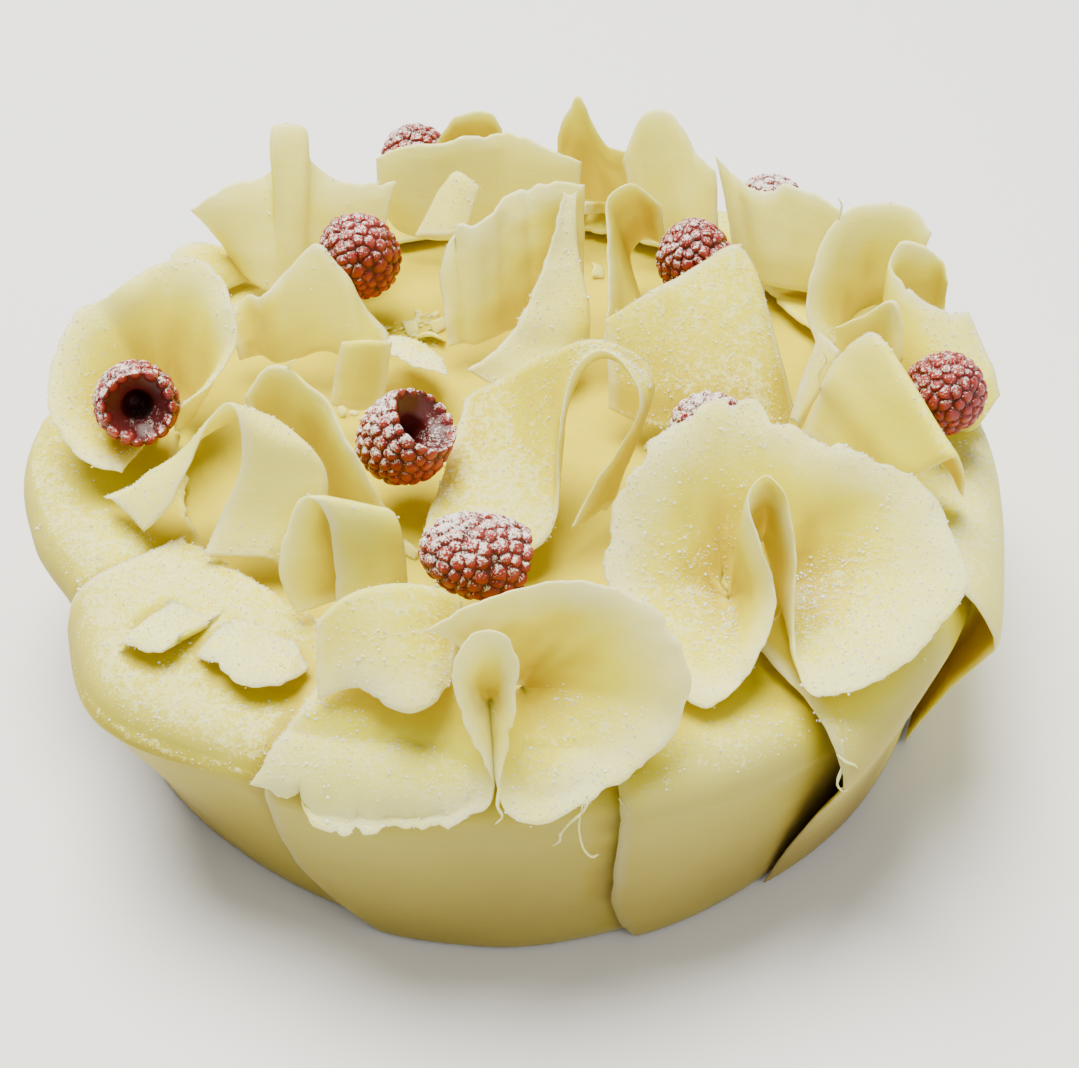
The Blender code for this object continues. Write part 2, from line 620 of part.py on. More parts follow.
def keep_largest(mesh):
    """Drop loose scraps left by a cut and keep the biggest piece."""
    bm = bmesh.new()
    bm.from_mesh(mesh)
    bmesh.ops.remove_doubles(bm, verts=bm.verts, dist=0.00008)
    bmesh.ops.dissolve_degenerate(bm, edges=bm.edges, dist=0.00002)
    bmesh.ops.triangulate(bm, faces=bm.faces)
    unseen = set(bm.faces)
    groups = []
    while unseen:
        stack = [unseen.pop()]
        group = [stack[0]]
        while stack:
            face = stack.pop()
            for edge in face.edges:
                for other in edge.link_faces:
                    if other in unseen:
                        unseen.discard(other)
                        group.append(other)
                        stack.append(other)
        groups.append(group)
    groups.sort(key=lambda g: -sum(f.calc_area() for f in g))
    loose = [face for group in groups[1:] for face in group]
    bmesh.ops.delete(bm, geom=loose, context="FACES")
    bmesh.ops.delete(bm, geom=[v for v in bm.verts if not v.link_faces], context="VERTS")
    bmesh.ops.recalc_face_normals(bm, faces=bm.faces)
    bm.to_mesh(mesh)
    bm.free()


def cut_away(item, cutters):
    """Subtract each cutter from the object and keep one closed piece."""
    for cutter in cutters:
        modifier = item.modifiers.new("clearance", "BOOLEAN")
        modifier.operation = "DIFFERENCE"
        modifier.solver = "MANIFOLD"
        modifier.object = cutter
    graph = bpy.context.evaluated_depsgraph_get()
    shaped = bpy.data.meshes.new_from_object(item.evaluated_get(graph))
    item.modifiers.clear()
    item.data = shaped
    keep_largest(shaped)


def main():
    for item in list(bpy.data.objects):
        bpy.data.objects.remove(item, do_unlink=True)
    parts = bpy.data.collections.new(OBJECT_NAME)
    tools = bpy.data.collections.new(OBJECT_NAME + "_cutters")
    bpy.context.scene.collection.children.link(parts)
    bpy.context.scene.collection.children.link(tools)

    add_object("cake_core", core_mesh(), parts, CAKE_CREAM, 0.8)
    for name, values in PANELS.items():
        verts, faces = shell_mesh(panel_grid(*values), PANEL_THICK)
        add_object(name, new_mesh(name, verts, faces), parts, CHOCOLATE, 0.55)

    finished = []
    for name, (centre, direction, width, length) in BERRIES.items():
        berry = berry_mesh(name, centre, direction, width, length)
        add_object(name, berry, parts, BERRY_RED, 0.45)
        cutter = bpy.data.objects.new(name + "_clear", berry_cutter(name + "_clear", centre, berry))
        tools.objects.link(cutter)
        finished.append(cutter)

    sheets = dict(RUFFLES)
    for name, (azimuth, half_width, lip) in REAR_LEAVES.items():
        sheets[name] = (8, 3, rear_leaf_stations(azimuth, half_width, lip))
    for name, (cols, rows, stations) in sheets.items():
        grid = ruffle_grid(cols, rows, stations)
        verts, faces = shell_mesh(grid, RUFFLE_THICK)
        item = add_object(name, new_mesh(name, verts, faces), parts, CHOCOLATE, 0.55)
        box = bounds_of(item.data)
        near = [other for other in finished if boxes_meet(box, bounds_of(other.data), GAP * MM)]
        if near:
            cut_away(item, near)
        wide, wide_faces = shell_mesh(grow_grid(grid, GAP), RUFFLE_THICK + 2 * GAP)
        cutter = bpy.data.objects.new(name + "_clear", new_mesh(name + "_clear", wide, wide_faces))
        tools.objects.link(cutter)
        finished.append(cutter)

    for cutter in tools.objects:
        cutter.hide_render = True
        cutter.display_type = "WIRE"
        cutter.hide_set(True)


main()
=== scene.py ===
"""Looks of the champagne cake: white chocolate sheets, raspberries and icing sugar.

Lengths in the tables and in the shape functions are millimetres; meshes are in metres.
A ruffle is a grid of points: columns along its free edge, rows from that edge to its root.
A wrap sheet's columns run round the cake, its rows from the foot to the flap's inner edge.
"""

import itertools
import math

import bmesh
import bpy
import numpy as np
from mathutils import Euler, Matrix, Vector
from mathutils.bvhtree import BVHTree


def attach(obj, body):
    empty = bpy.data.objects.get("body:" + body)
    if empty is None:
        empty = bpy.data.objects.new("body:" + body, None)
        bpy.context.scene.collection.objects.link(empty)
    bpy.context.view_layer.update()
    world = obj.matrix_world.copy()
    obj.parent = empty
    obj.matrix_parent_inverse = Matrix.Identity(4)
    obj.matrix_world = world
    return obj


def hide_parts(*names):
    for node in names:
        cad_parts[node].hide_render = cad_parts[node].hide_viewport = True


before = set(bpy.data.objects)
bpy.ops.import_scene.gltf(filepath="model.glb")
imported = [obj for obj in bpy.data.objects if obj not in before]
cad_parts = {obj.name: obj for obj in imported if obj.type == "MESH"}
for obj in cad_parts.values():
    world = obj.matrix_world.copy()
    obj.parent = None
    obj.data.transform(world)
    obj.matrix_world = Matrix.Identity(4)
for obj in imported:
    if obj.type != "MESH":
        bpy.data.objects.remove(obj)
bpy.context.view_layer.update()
MM = 0.001

# The camera, fitted to the photograph's frame
CAMERA_PLACE = (0.0054, -0.2987, 0.3076)
CAMERA_PITCH = math.radians(46.3)
CAMERA_LENS = 56.72

# Shape values, the same as the solids'
FOOT_RADIUS = (98, 98, 98, 98, 98, 97, 96, 96, 98, 101, 99, 100)
RIM_RADIUS = (109, 109, 108, 107, 107, 107, 107, 107, 108, 108, 107, 102,
              110, 109, 105, 113, 109, 106, 105, 106, 107, 108, 108, 108)
FOLD_TOP = 56.0
FOLD_RADIUS = 8.0
FLAP_RISE = 3.5
CORE_INSET = 3.2
PANEL_THICK = 1.5
PANEL_FOOT = 0.6
RUFFLE_THICK = 1.3
RUFFLE_LIFT = 3.9
LAP = 2.0

# Wrap sheets: first and last azimuth, lift from the cake at either end, radius of the flap's
# inner edge at either end, cut of either foot corner, scallop of the first side
PANELS = {
    "wrap_left": (163, 214, 2.0, -0.5, 80, 78, 0, 0, 0),
    "wrap_front_left": (210, 253, 2.0, -0.5, 79, 76, 0, 0, 0),
    "wrap_front": (246, 286, 2.0, -0.5, 82, 86, 14, 0, -2),
    "wrap_front_right": (281, 318, 2.0, -0.8, 86, 84, 6, 0, 0),
    "wrap_flare": (302, 337, 8.5, -0.5, 84, 82, 0, 0, 3),
    "wrap_right": (329, 373, 8.5, -0.5, 76, 80, 6, 0, 0),
    "wrap_right_back": (368, 406, 2.0, -0.5, 82, 80, 0, 0, 0),
    "wrap_back_right": (401, 443, 2.0, -0.5, 82, 80, 0, 0, 0),
    "wrap_back": (438, 484, 2.0, -0.5, 80, 80, 0, 0, 0),
    "wrap_back_left": (479, 527, 2.0, -0.5, 80, 80, 0, 0, 0),
}

# Ruffles: stations along each sheet, the free edge's x, y, z and the root's x, y, z
RUFFLES = {
    "front_fan": (
        (-48, -98, 53, -37, -89, 65), (-33, -108, 49, -28, -85, 68), (-12, -110, 52, -15, -84, 69),
        (-3, -107, 59, -9, -84, 70), (-9, -101, 74, -9, -83, 72), (-10, -97, 83, -7, -82, 75),
        (-6, -94, 88, -3, -81, 77), (0, -95, 87, -1, -82, 74), (2, -99, 77, -1, -84, 70),
        (-2, -108, 60, 0, -85, 66), (5, -111, 55, 2, -86, 65), (21, -104, 59, 5, -86, 64),
        (31, -97, 67, 8, -85, 63), (33, -93, 76, 9, -83, 64), (28, -87, 84, 8, -81, 65),
        (21, -83, 87, 7, -80, 67), (12, -81, 88, 5, -79, 69), (2, -83, 88, 3, -79, 71),
        (-8, -87, 87, 0, -79, 73), (-16, -90, 84, -4, -79, 74),
    ),
    "right_rose": (
        (36, -89, 62, 43, -66, 62), (45, -84, 66, 45, -65, 63), (50, -74, 75, 46, -63, 65),
        (47, -68, 85, 47, -60, 68), (45, -62, 91, 47, -56, 72), (48, -59, 94, 49, -53, 75),
        (52, -62, 91, 51, -55, 72), (54, -68, 81, 53, -59, 68), (54, -77, 69, 54, -63, 65),
        (57, -88, 64, 56, -66, 63), (72, -84, 66, 59, -65, 63), (88, -68, 72, 60, -62, 64),
        (86, -55, 77, 60, -58, 65), (80, -47, 82, 58, -54, 66), (63, -41, 87, 54, -50, 67),
        (45, -33, 92, 47, -49, 67), (33, -38, 90, 43, -51, 66), (25, -44, 86, 42, -54, 65),
        (20, -52, 80, 42, -58, 64), (18, -65, 70, 41, -62, 62), (24, -79, 65, 40, -65, 62),
    ),
    "centre_loop": (
        (-19, -43, 64, -11, -8, 71), (-13, -48, 64, -9, -7, 72), (-6, -50, 64, -5, -8, 75),
        (1, -50, 64, 0, -9, 79), (7, -46, 65, 5, -12, 85), (9, -38, 72, 9, -14, 89),
        (10, -30, 84, 14, -15, 92), (13, -24, 92, 18, -16, 93), (18, -22, 95, 22, -18, 93),
        (24, -25, 92, 26, -19, 91), (26, -29, 87, 29, -22, 87), (22, -32, 78, 27, -25, 79),
        (16, -37, 70, 24, -29, 71), (12, -43, 64, 20, -34, 64),
    ),
    "front_leaf": (
        (-36, -91, 67, -36, -83, 79), (-28, -92, 70, -30, -80, 83), (-20, -97, 70, -22, -78, 84),
        (-14, -96, 71, -14, -77, 82), (-11, -92, 72, -9, -76, 77),
    ),
    "left_loop": (
        (-43, -65, 61, -25, -58, 62), (-46, -61, 70, -25, -58, 68), (-44, -57, 79, -25, -56, 75),
        (-40, -56, 86, -24, -54, 80), (-36, -58, 82, -22, -56, 78), (-35, -61, 72, -21, -59, 70),
        (-35, -67, 62, -21, -63, 63),
    ),
    "left_fold": (
        (-77, -42, 63, -88, -30, 64), (-71, -41, 69, -81, -30, 67), (-66, -37, 78, -72, -30, 72),
        (-61, -34, 87, -64, -28, 78), (-57, -33, 90, -53, -28, 83), (-55, -36, 85, -42, -35, 81),
        (-56, -39, 77, -38, -39, 75), (-60, -43, 69, -40, -44, 68), (-64, -49, 62, -47, -50, 62),
    ),
    "left_wall": (
        (-57, -19, 80, -56, -16, 64), (-50, -18, 88, -50, -19, 64), (-39, -26, 88, -45, -24, 64),
        (-35, -34, 84, -41, -30, 64), (-30, -39, 78, -37, -35, 64), (-26, -42, 69, -31, -39, 64),
    ),
    "left_cup": (
        (-84, -27, 66, -82, -12, 62), (-92, -25, 68, -86, -10, 62), (-100, -16, 71, -89, -6, 62),
        (-102, -4, 76, -90, 0, 62), (-98, 8, 82, -89, 4, 64), (-88, 12, 86, -85, 7, 65),
        (-79, 19, 89, -79, 9, 65), (-69, 18, 89, -73, 7, 65), (-63, 9, 86, -70, 3, 64),
        (-61, 1, 80, -69, -1, 62), (-66, -8, 75, -71, -6, 62), (-73, -15, 73, -75, -10, 62),
    ),
    "back_left_tab": (
        (-80, 56, 78, -71, 54, 67), (-71, 57, 84, -66, 47, 66), (-62, 60, 85, -62, 44, 65),
        (-58, 62, 89, -59, 43, 64), (-59, 64, 96, -57, 43, 64), (-51, 65, 96, -54, 43, 64),
        (-50, 63, 88, -51, 44, 64), (-44, 62, 83, -47, 46, 64), (-36, 64, 81, -41, 50, 64),
        (-30, 66, 80, -35, 53, 65),
    ),
    "back_left_roof": (
        (-68, 22, 68, -65, 18, 63), (-63, 26, 74, -60, 19, 64), (-58, 22, 77, -56, 15, 65),
        (-53, 24, 82, -52, 15, 66), (-46, 27, 88, -46, 14, 68), (-42, 25, 86, -41, 13, 68),
        (-37, 22, 78, -36, 12, 66), (-30, 20, 68, -31, 12, 63),
    ),
    "back_band": (
        (-36, 76, 80, -36, 72, 70), (-29, 74, 85, -30, 68, 66), (-19, 73, 87, -22, 66, 65),
        (-11, 74, 88, -13, 66, 65), (-2, 76, 88, -3, 68, 65), (7, 74, 85, 6, 67, 65),
        (16, 72, 82, 14, 66, 65),
    ),
    "back_tongue": (
        (-21, 80, 82, -22, 86, 65), (-15, 81, 90, -15, 84, 65), (-7, 82, 90, -7, 84, 65),
        (-4, 82, 85, -2, 86, 65),
    ),
    "centre_slope": (
        (-18, 31, 77, -16, 21, 65), (-14, 35, 88, -13, 22, 65), (-9, 34, 89, -9, 22, 65),
        (-4, 41, 90, -4, 26, 65), (3, 45, 91, 3, 30, 65), (9, 47, 92, 10, 34, 65),
        (16, 50, 89, 16, 38, 65),
    ),
    "centre_blade": (
        (-12, 7, 67, 0, 4, 64), (-7, 9, 69, 9, 9, 65), (-2, 15, 71, 16, 17, 66), (2, 21, 75, 17, 24, 72),
        (6, 28, 80, 15, 32, 79), (9, 36, 86, 14, 38, 86), (11, 43, 92, 14, 43, 92),
    ),
    "centre_flap": (
        (-25, 48, 76, -20, 54, 82), (-21, 45, 78, -17, 54, 87), (-17, 43, 79, -14, 54, 90),
        (-12, 44, 80, -9, 51, 88),
    ),
    "centre_apron": (
        (-31, 12, 69, -29, 24, 65), (-27, 6, 70, -25, 23, 65), (-21, 2, 71, -20, 19, 65),
        (-15, 1, 70, -17, 14, 65),
    ),
    "centre_edge": (
        (20, 14, 68, 30, 30, 65), (21, 22, 76, 30, 38, 66), (21, 34, 84, 28, 50, 67),
        (21, 42, 90, 28, 54, 68), (27, 46, 92, 32, 56, 70), (34, 46, 86, 37, 52, 70),
    ),
    "right_slope": (
        (20, 9, 80, 21, -3, 66), (28, 13, 83, 30, -7, 64), (41, 21, 86, 44, -10, 64),
        (51, 26, 89, 58, -10, 64), (55, 22, 83, 63, 0, 64),
    ),
    "back_spike": (
        (10, 80, 84, 10, 83, 66), (12, 80, 91, 14, 83, 66), (15, 80, 96, 18, 82, 66),
        (18, 78, 90, 22, 82, 66), (22, 76, 84, 26, 80, 66), (28, 77, 82, 31, 79, 66),
    ),
    "back_peak": (
        (26, 72, 82, 30, 64, 66), (31, 76, 93, 35, 64, 66), (38, 76, 93, 41, 62, 66),
        (44, 70, 86, 45, 58, 66), (49, 66, 83, 50, 57, 66),
    ),
    "right_back_wall": (
        (48, 62, 90, 54, 54, 66), (53, 62, 84, 58, 50, 65), (59, 58, 82, 62, 46, 65),
        (66, 57, 85, 68, 44, 65), (73, 51, 85, 74, 42, 65), (79, 46, 82, 80, 40, 66),
    ),
    "right_cup": (
        (70, 15, 67, 78, 24, 63), (67, 22, 74, 78, 26, 63), (70, 31, 83, 79, 29, 63),
        (76, 39, 88, 81, 31, 64), (84, 41, 90, 84, 32, 64), (92, 38, 90, 88, 32, 65),
        (96, 32, 87, 91, 29, 66),
    ),
    "right_curl": (
        (99, 23, 80, 101, 27, 66), (98, 27, 84, 97, 28, 67), (93, 28, 87, 92, 26, 68),
        (88, 29, 87, 87, 23, 68), (86, 26, 83, 85, 18, 66), (90, 20, 80, 87, 10, 65),
        (95, 17, 78, 93, 0, 64), (101, 17, 76, 102, -6, 62), (104, 20, 74, 110, 2, 66),
    ),
    "right_strip": (
        (71, 7, 79, 74, 12, 66), (77, 6, 83, 78, 10, 66), (82, 5, 88, 81, 7, 67), (84, 2, 86, 83, 3, 67),
        (85, -3, 78, 83, -2, 66),
    ),
    "right_fold": (
        (63, -13, 65, 78, -30, 62), (68, -8, 76, 82, -33, 68), (73, -7, 86, 87, -36, 76),
        (77, -8, 89, 90, -37, 79), (80, -13, 83, 92, -36, 76), (84, -17, 77, 94, -34, 71),
        (87, -22, 70, 96, -31, 65),
    ),
    "right_band": (
        (67, 3, 81, 71, -3, 80), (64, -2, 74, 69, -5, 75), (61, -8, 65, 63, -10, 65),
    ),
    "centre_scrap": (
        (-42, -3, 65, -38, 2, 79), (-36, -5, 65, -33, 0, 81), (-30, -4, 65, -27, 2, 79),
    ),
    "left_flake": (
        (-78, -71, 62, -69, -59, 62), (-69, -76, 62, -61, -64, 62), (-66, -71, 62, -58, -62, 62),
    ),
    "left_tongue": (
        (-62, -74, 61, -58, -65, 61), (-54, -82, 61, -52, -65, 61), (-44, -83, 61, -46, -69, 61),
        (-39, -78, 61, -43, -70, 61),
    ),
}

# Low leaves behind the ruffles: azimuth, half width in degrees, height of the lip
REAR_LEAVES = {
    "rear_leaf_right": (28, 9, 70),
    "rear_leaf_back_right": (69, 9, 70),
    "rear_leaf_back": (91, 7, 66),
    "rear_leaf_back_left": (127, 10, 67),
    "rear_leaf_left": (149, 8, 70),
}

# Raspberries: centre, direction of the open end, width, length
BERRIES = {
    "berry_left": ((-82, -13, 74), (0.3, -0.8, 0.5), 18, 17),
    "berry_upper_left": ((-38, 41, 76), (0.2, 0.5, -0.9), 19, 18),
    "berry_back": ((-27, 90, 72), (0.2, 0.6, -0.8), 18, 18),
    "berry_centre_back": ((42, 39, 76), (0.3, 0.5, -0.8), 18, 18),
    "berry_right_back": ((63, 66, 72), (0.0, 0.4, -0.9), 18, 17),
    "berry_centre": ((-24, -25, 73), (0.6, -0.1, 0.75), 19, 18),
    "berry_front": ((-8, -60, 74), (0.9, 0.15, -0.35), 17, 20),
    "berry_behind_rose": ((42, -18, 70), (0.1, 0.5, -0.9), 18, 17),
    "berry_right": ((94, -8, 73), (0.1, 0.6, -0.8), 18, 18),
}

# Roots drawn in to close a bowl: sheet, first and last station, centre, share
GATHERS = (
    ("front_fan", 3, 9, (-3.5, -94, 70), 1.0),
    ("front_fan", 10, 19, (1.5, -84, 64), 0.93),
    ("right_rose", 0, 4, (43.5, -60, 64), 0.85),
    ("right_rose", 15, 20, (43.5, -60, 64), 0.9),
    ("right_rose", 5, 8, (51, -57, 68), 0.3),
    ("right_rose", 9, 14, (55.5, -59, 64), 0.75),
    ("left_cup", 0, 11, (-78, -4, 62), 0.55),
)

# Sheets whose two ends meet, sheets of finer detail, and broken skins that lie flush
CLOSED = ("right_rose",)
FINE = ("front_fan", "right_rose")
FLUSH = ("left_flake", "left_tongue")

# Upright creases in a sheet: place along it from 0 to 1, width, depth
CREASES = {
    "centre_slope": ((0.18, 0.04, 1.8), (0.42, 0.05, -1.3), (0.66, 0.03, 1.4)),
    "centre_blade": ((0.35, 0.12, -1.2), (0.70, 0.08, 0.8)),
    "centre_apron": ((0.45, 0.08, 0.8),),
    "right_slope": ((0.25, 0.10, -1.6), (0.85, 0.08, 1.4)),
    "back_band": ((0.30, 0.08, -1.6), (0.62, 0.07, 1.8)),
    "back_left_roof": ((0.30, 0.05, -1.4), (0.75, 0.06, -1.2)),
    "back_peak": ((0.35, 0.10, -1.5), (0.75, 0.08, 1.2)),
    "right_back_wall": ((0.30, 0.08, -1.4), (0.72, 0.07, 1.4)),
    "right_fold": ((0.25, 0.10, -1.8),),
    "left_wall": ((0.40, 0.10, -1.6),),
    "left_cup": ((0.42, 0.03, 1.5), (0.50, 0.03, -1.6), (0.57, 0.03, 1.3)),
    "right_rose": ((0.62, 0.03, 1.0), (0.70, 0.04, -1.4), (0.80, 0.03, 0.9)),
    "centre_loop": ((0.30, 0.05, -0.8),),
}

# Share by which a section falls slowly at its edge and steeply behind it
FLARE = {"front_fan": 0.75, "right_rose": 0.8, "left_cup": 0.6, "right_cup": 0.6,
         "centre_loop": 0.3, "back_left_tab": 0.3}
PLAIN_FLARE = 0.15

# Part of the free edge that is torn harder: first and last place, factor
TORN = {"front_fan": (0.0, 0.22, 4.2), "centre_apron": (0.0, 1.0, 1.4), "right_rose": (0.62, 0.9, 1.6)}

# How a sheet departs from the plain form: raggedness of the free edge, of the start side
# and of the end side, flutter of the edge, sag of the surface
STYLE = {
    "front_fan": (1.1, 2.4, 0.6, 0.5, 0.0),
    "right_rose": (1.15, 0.0, 0.0, 0.6, 0.0),
    "centre_loop": (0.3, 0.8, 0.4, 0.5, 2.0),
    "front_leaf": (0.9, 1.6, 0.5, 0.4, 0.0),
    "left_loop": (0.3, 0.4, 0.4, 0.3, 0.0),
    "left_fold": (0.25, 0.5, 0.5, 0.3, 0.0),
    "left_wall": (0.5, 0.6, 0.6, 0.5, 0.0),
    "left_cup": (0.5, 0.5, 0.5, 0.6, 0.0),
    "back_left_tab": (0.6, 0.8, 0.6, 0.5, 0.0),
    "centre_slope": (0.9, 0.9, 0.7, 0.8, 0.0),
    "centre_blade": (0.6, 1.6, 0.6, 0.6, 1.0),
    "centre_apron": (1.9, 0.9, 0.8, 0.4, 0.0),
    "centre_flap": (0.5, 0.6, 0.6, 0.5, 0.0),
    "right_slope": (0.4, 0.5, 0.4, 0.3, 0.0),
    "back_spike": (0.7, 0.7, 0.5, 0.5, 0.0),
    "left_flake": (1.2, 0.6, 0.6, 0.3, 0.0),
    "left_tongue": (0.9, 0.5, 0.5, 0.3, 0.0),
}
PLAIN_STYLE = (0.6, 0.8, 0.7, 0.4, 0.0)

# Low ridge along a wrap sheet's fold: place on the run, height
RIDGES = {"wrap_front_left": (1.14, 1.5), "wrap_left": (1.6, 0.5), "wrap_right_back": (1.5, 0.6),
          "wrap_back": (1.45, 0.7)}

# Share of icing sugar on each sheet; the others have 0.5
SUGARED = {"wrap_left": 0.75, "wrap_front_left": 0.85, "wrap_right": 0.8, "wrap_back": 0.6,
           "wrap_back_left": 0.6, "wrap_back_right": 0.6, "wrap_right_back": 0.6, "right_rose": 0.8,
           "front_fan": 0.7, "front_leaf": 0.7, "left_cup": 0.7, "left_flake": 1.0,
           "left_tongue": 0.9, "centre_slope": 0.7, "right_slope": 0.8, "centre_loop": 0.95,
           "centre_apron": 1.0}

# Shift of each sheet's painted light and shade: less is more golden, more is paler
SHEET_LIGHT_SHIFT = {"wrap_left": -0.12, "wrap_front_left": -0.12, "wrap_right": 0.06, "right_slope": -0.22,
        "centre_loop": -0.16, "right_cup": 0.16, "right_curl": 0.06, "right_fold": -0.08,
        "front_leaf": -0.04, "left_fold": 0.14, "back_band": 0.22, "right_band": 0.10,
        "right_back_wall": 0.14, "back_peak": 0.12, "back_left_tab": 0.12, "centre_slope": 0.10,
        "centre_blade": 0.08, "centre_flap": 0.12, "left_wall": -0.04, "right_strip": 0.10,
        "centre_edge": 0.04}

# Fall of painted light from a sheet's free edge to its root: painted shade deepens toward the root
ROOT_SHADE_FALL = {"front_fan": 0.36, "right_rose": 0.40, "left_cup": 0.40, "right_cup": 0.34,
         "centre_loop": 0.2, "right_slope": 0.2, "left_wall": 0.25, "centre_slope": 0.2,
         "back_band": 0.2, "right_curl": 0.25}

# Strength of a whiter band of painted light along the free edge
EDGE_LIGHT_BAND = {"front_fan": 0.9, "right_rose": 0.8, "centre_apron": 0.8, "front_leaf": 0.8,
         "left_cup": 0.4, "centre_slope": 0.6, "centre_blade": 0.6, "right_strip": 0.6,
         "back_left_tab": 0.5}

# Share of icing sugar on each berry; the others have 0.9
DUSTED = {"berry_front": 0.8, "berry_centre": 0.75, "berry_left": 0.55, "berry_upper_left": 0.45,
          "berry_centre_back": 0.5, "berry_right": 0.3, "berry_back": 0.6}

# Curled shavings that hang from the torn edges: the sheet each hangs on, and its path
SHAVINGS = {
    "front_thread": ("front_fan", ((14.8, -111.6, 62), (13.6, -112.4, 60), (11.6, -113.0, 58),
                                   (9.8, -113.4, 55), (9.6, -113.6, 53), (8.4, -113.2, 51))),
    "front_curl": ("front_fan", ((13.2, -110.8, 60), (12.6, -112.0, 55), (13.4, -112.8, 50),
                                 (15.0, -112.8, 47), (16.4, -111.6, 46))),
    "apron_thread": ("front_fan", ((-2.8, -109.5, 61), (-3.0, -111.8, 59), (-2.2, -112.6, 57),
                                   (-3.5, -112.8, 55))),
    "flare_thread": ("wrap_flare", ((61.5, -94.5, 53), (63.2, -95.4, 52), (65.4, -94.8, 50),
                                    (66.8, -93.2, 46))),
    "flare_curl": ("wrap_flare", ((66.6, -92.0, 51), (65.9, -93.6, 48), (67.6, -92.8, 45),
                                  (68.8, -91.0, 44))),
    "seam_thread": ("wrap_front_right", ((17.2, -108.6, 56), (18.9, -109.6, 53), (17.6, -110.0, 50))),
    "wall_chip": ("left_wall", ((-46.5, -19.2, 86), (-45.2, -19.6, 88), (-44.2, -20.4, 89))),
    "cup_sliver": ("right_cup", ((78.0, 35.0, 86), (78.6, 36.4, 89), (77.4, 36.9, 91))),
    "fold_sliver": ("right_fold", ((63.5, -3.0, 74), (62.6, -4.2, 79), (63.6, -4.6, 83),
                                   (62.2, -5.0, 86))),
}

# Crumbs gather at these places (x, y) of the cake's top
CRUMB_PLACES = ((-24, 36), (-27, 30), (-22, 40), (-20, 31), (-18, -14), (-33, 8), (-9, -50), (-14, -52),
                (-19, -58), (-3, -52), (-44, -27), (30, -4), (36, -9), (60, -2), (-12, -4), (84, -62))

# Broken shards stick in the cake's top: x, y, width
SHARD_PLACES = ((-26, 37, 6), (-21, 31, 7), (-30, 29, 5), (-24, 25, 4), (-33, 36, 5), (-19, 37, 5),
                (-22, -41, 5), (-17, -44, 4), (-26, -44, 4), (-36, 14, 6), (-40, 6, 5),
                (33, -8, 4), (40, -14, 5), (62, -8, 4), (-8, 62, 6), (4, 60, 5), (60, 30, 5),
                (-50, 8, 5), (-70, 40, 6), (20, 62, 6), (48, 5, 4), (-33, -62, 4), (76, -35, 4))

# Other sizes, steps and counts
ROOT_SINK = 2.2
SPACING = 0.9
FINE_SPACING = 0.75
SHEET_STEPS = (5, 4)
CORE_STEPS = (10, 4)
RAY_REACH = 30.0
PLAIN_ROOT_SHADE_FALL = 0.1
CORE_AROUND = 300
CORE_SIDE_ROWS = 9
CORE_TOP_ROWS = 96
BERRY_AROUND = 190
DRUPELET = 3.0
SUGAR_GRAINS = 22000
CRUMBS_EACH = 14
CRUMB_SPREAD = 3.0
THREAD_RADIUS = 0.42
THREAD_SIDES = 6
SHARD_THICK = 1.1
SKY = 120.0
FLOOR = 3000.0


# Smooth noise

def lattice_value(ix, iy, iz, seed):
    mix = (ix * 374761393 + iy * 668265263 + iz * 1440662683 + seed * 1274126177) & 0xFFFFFFFF
    mix = ((mix ^ (mix >> 13)) * 1103515245) & 0xFFFFFFFF
    mix = (mix ^ (mix >> 16)) & 0xFFFF
    return mix / 32767.5 - 1.0


def value_noise(points, size, seed):
    """Smooth noise from -1 to 1 at points (n, 3), with features about size mm wide."""
    scaled = np.asarray(points, float) / size
    cell = np.floor(scaled).astype(np.int64)
    part = scaled - cell
    part = part * part * (3 - 2 * part)
    total = np.zeros(len(scaled))
    for corner in np.ndindex(2, 2, 2):
        weight = np.prod(np.abs(1 - np.array(corner) - part), axis=1)
        total += weight * lattice_value(*(cell + corner).T, seed)
    return total


def layered_noise(points, size, seed, layers):
    """Noise in octaves at points of any grid shape."""
    flat = points.reshape(-1, 3)
    total = np.zeros(len(flat))
    for k in range(layers):
        total += value_noise(flat, size / 2 ** k, seed + k) / 2 ** k
    return (total / (2.0 - 2.0 ** (1 - layers))).reshape(points.shape[:-1])


# The wrap's surface, worked for arrays of azimuths

def smoothstep(low, high, value):
    share = np.clip((value - low) / (high - low), 0.0, 1.0)
    return share * share * (3 - 2 * share)


def unit(vectors):
    return vectors / (np.linalg.norm(vectors, axis=-1, keepdims=True) + 1e-9)


def catmull(points, where):
    """Smooth curve through points, at places counted in points from the first."""
    points = np.asarray(points, float)
    last = len(points) - 1
    first = np.clip(where.astype(int), 0, last - 1)
    share = (where - first)[:, None]
    p1 = points[first]
    p2 = points[first + 1]
    p0 = np.where((first > 0)[:, None], points[np.maximum(first - 1, 0)], 2 * p1 - p2)
    p3 = np.where((first + 2 <= last)[:, None], points[np.minimum(first + 2, last)], 2 * p2 - p1)
    return 0.5 * (2 * p1 + (p2 - p0) * share + (2 * p0 - 5 * p1 + 4 * p2 - p3) * share ** 2
                  + (3 * p1 - p0 - 3 * p2 + p3) * share ** 3)


def ring_values(values, azimuth):
    count = len(values)
    ring = np.array([values[k % count] for k in range(-1, count + 3)], float)[:, None]
    where = np.mod(azimuth.ravel(), 360.0) / (360.0 / count)
    return catmull(ring, where + 1.0).reshape(azimuth.shape)


def flap_rise(inward):
    return FLAP_RISE * (1.0 - np.exp(-inward / 25.0))


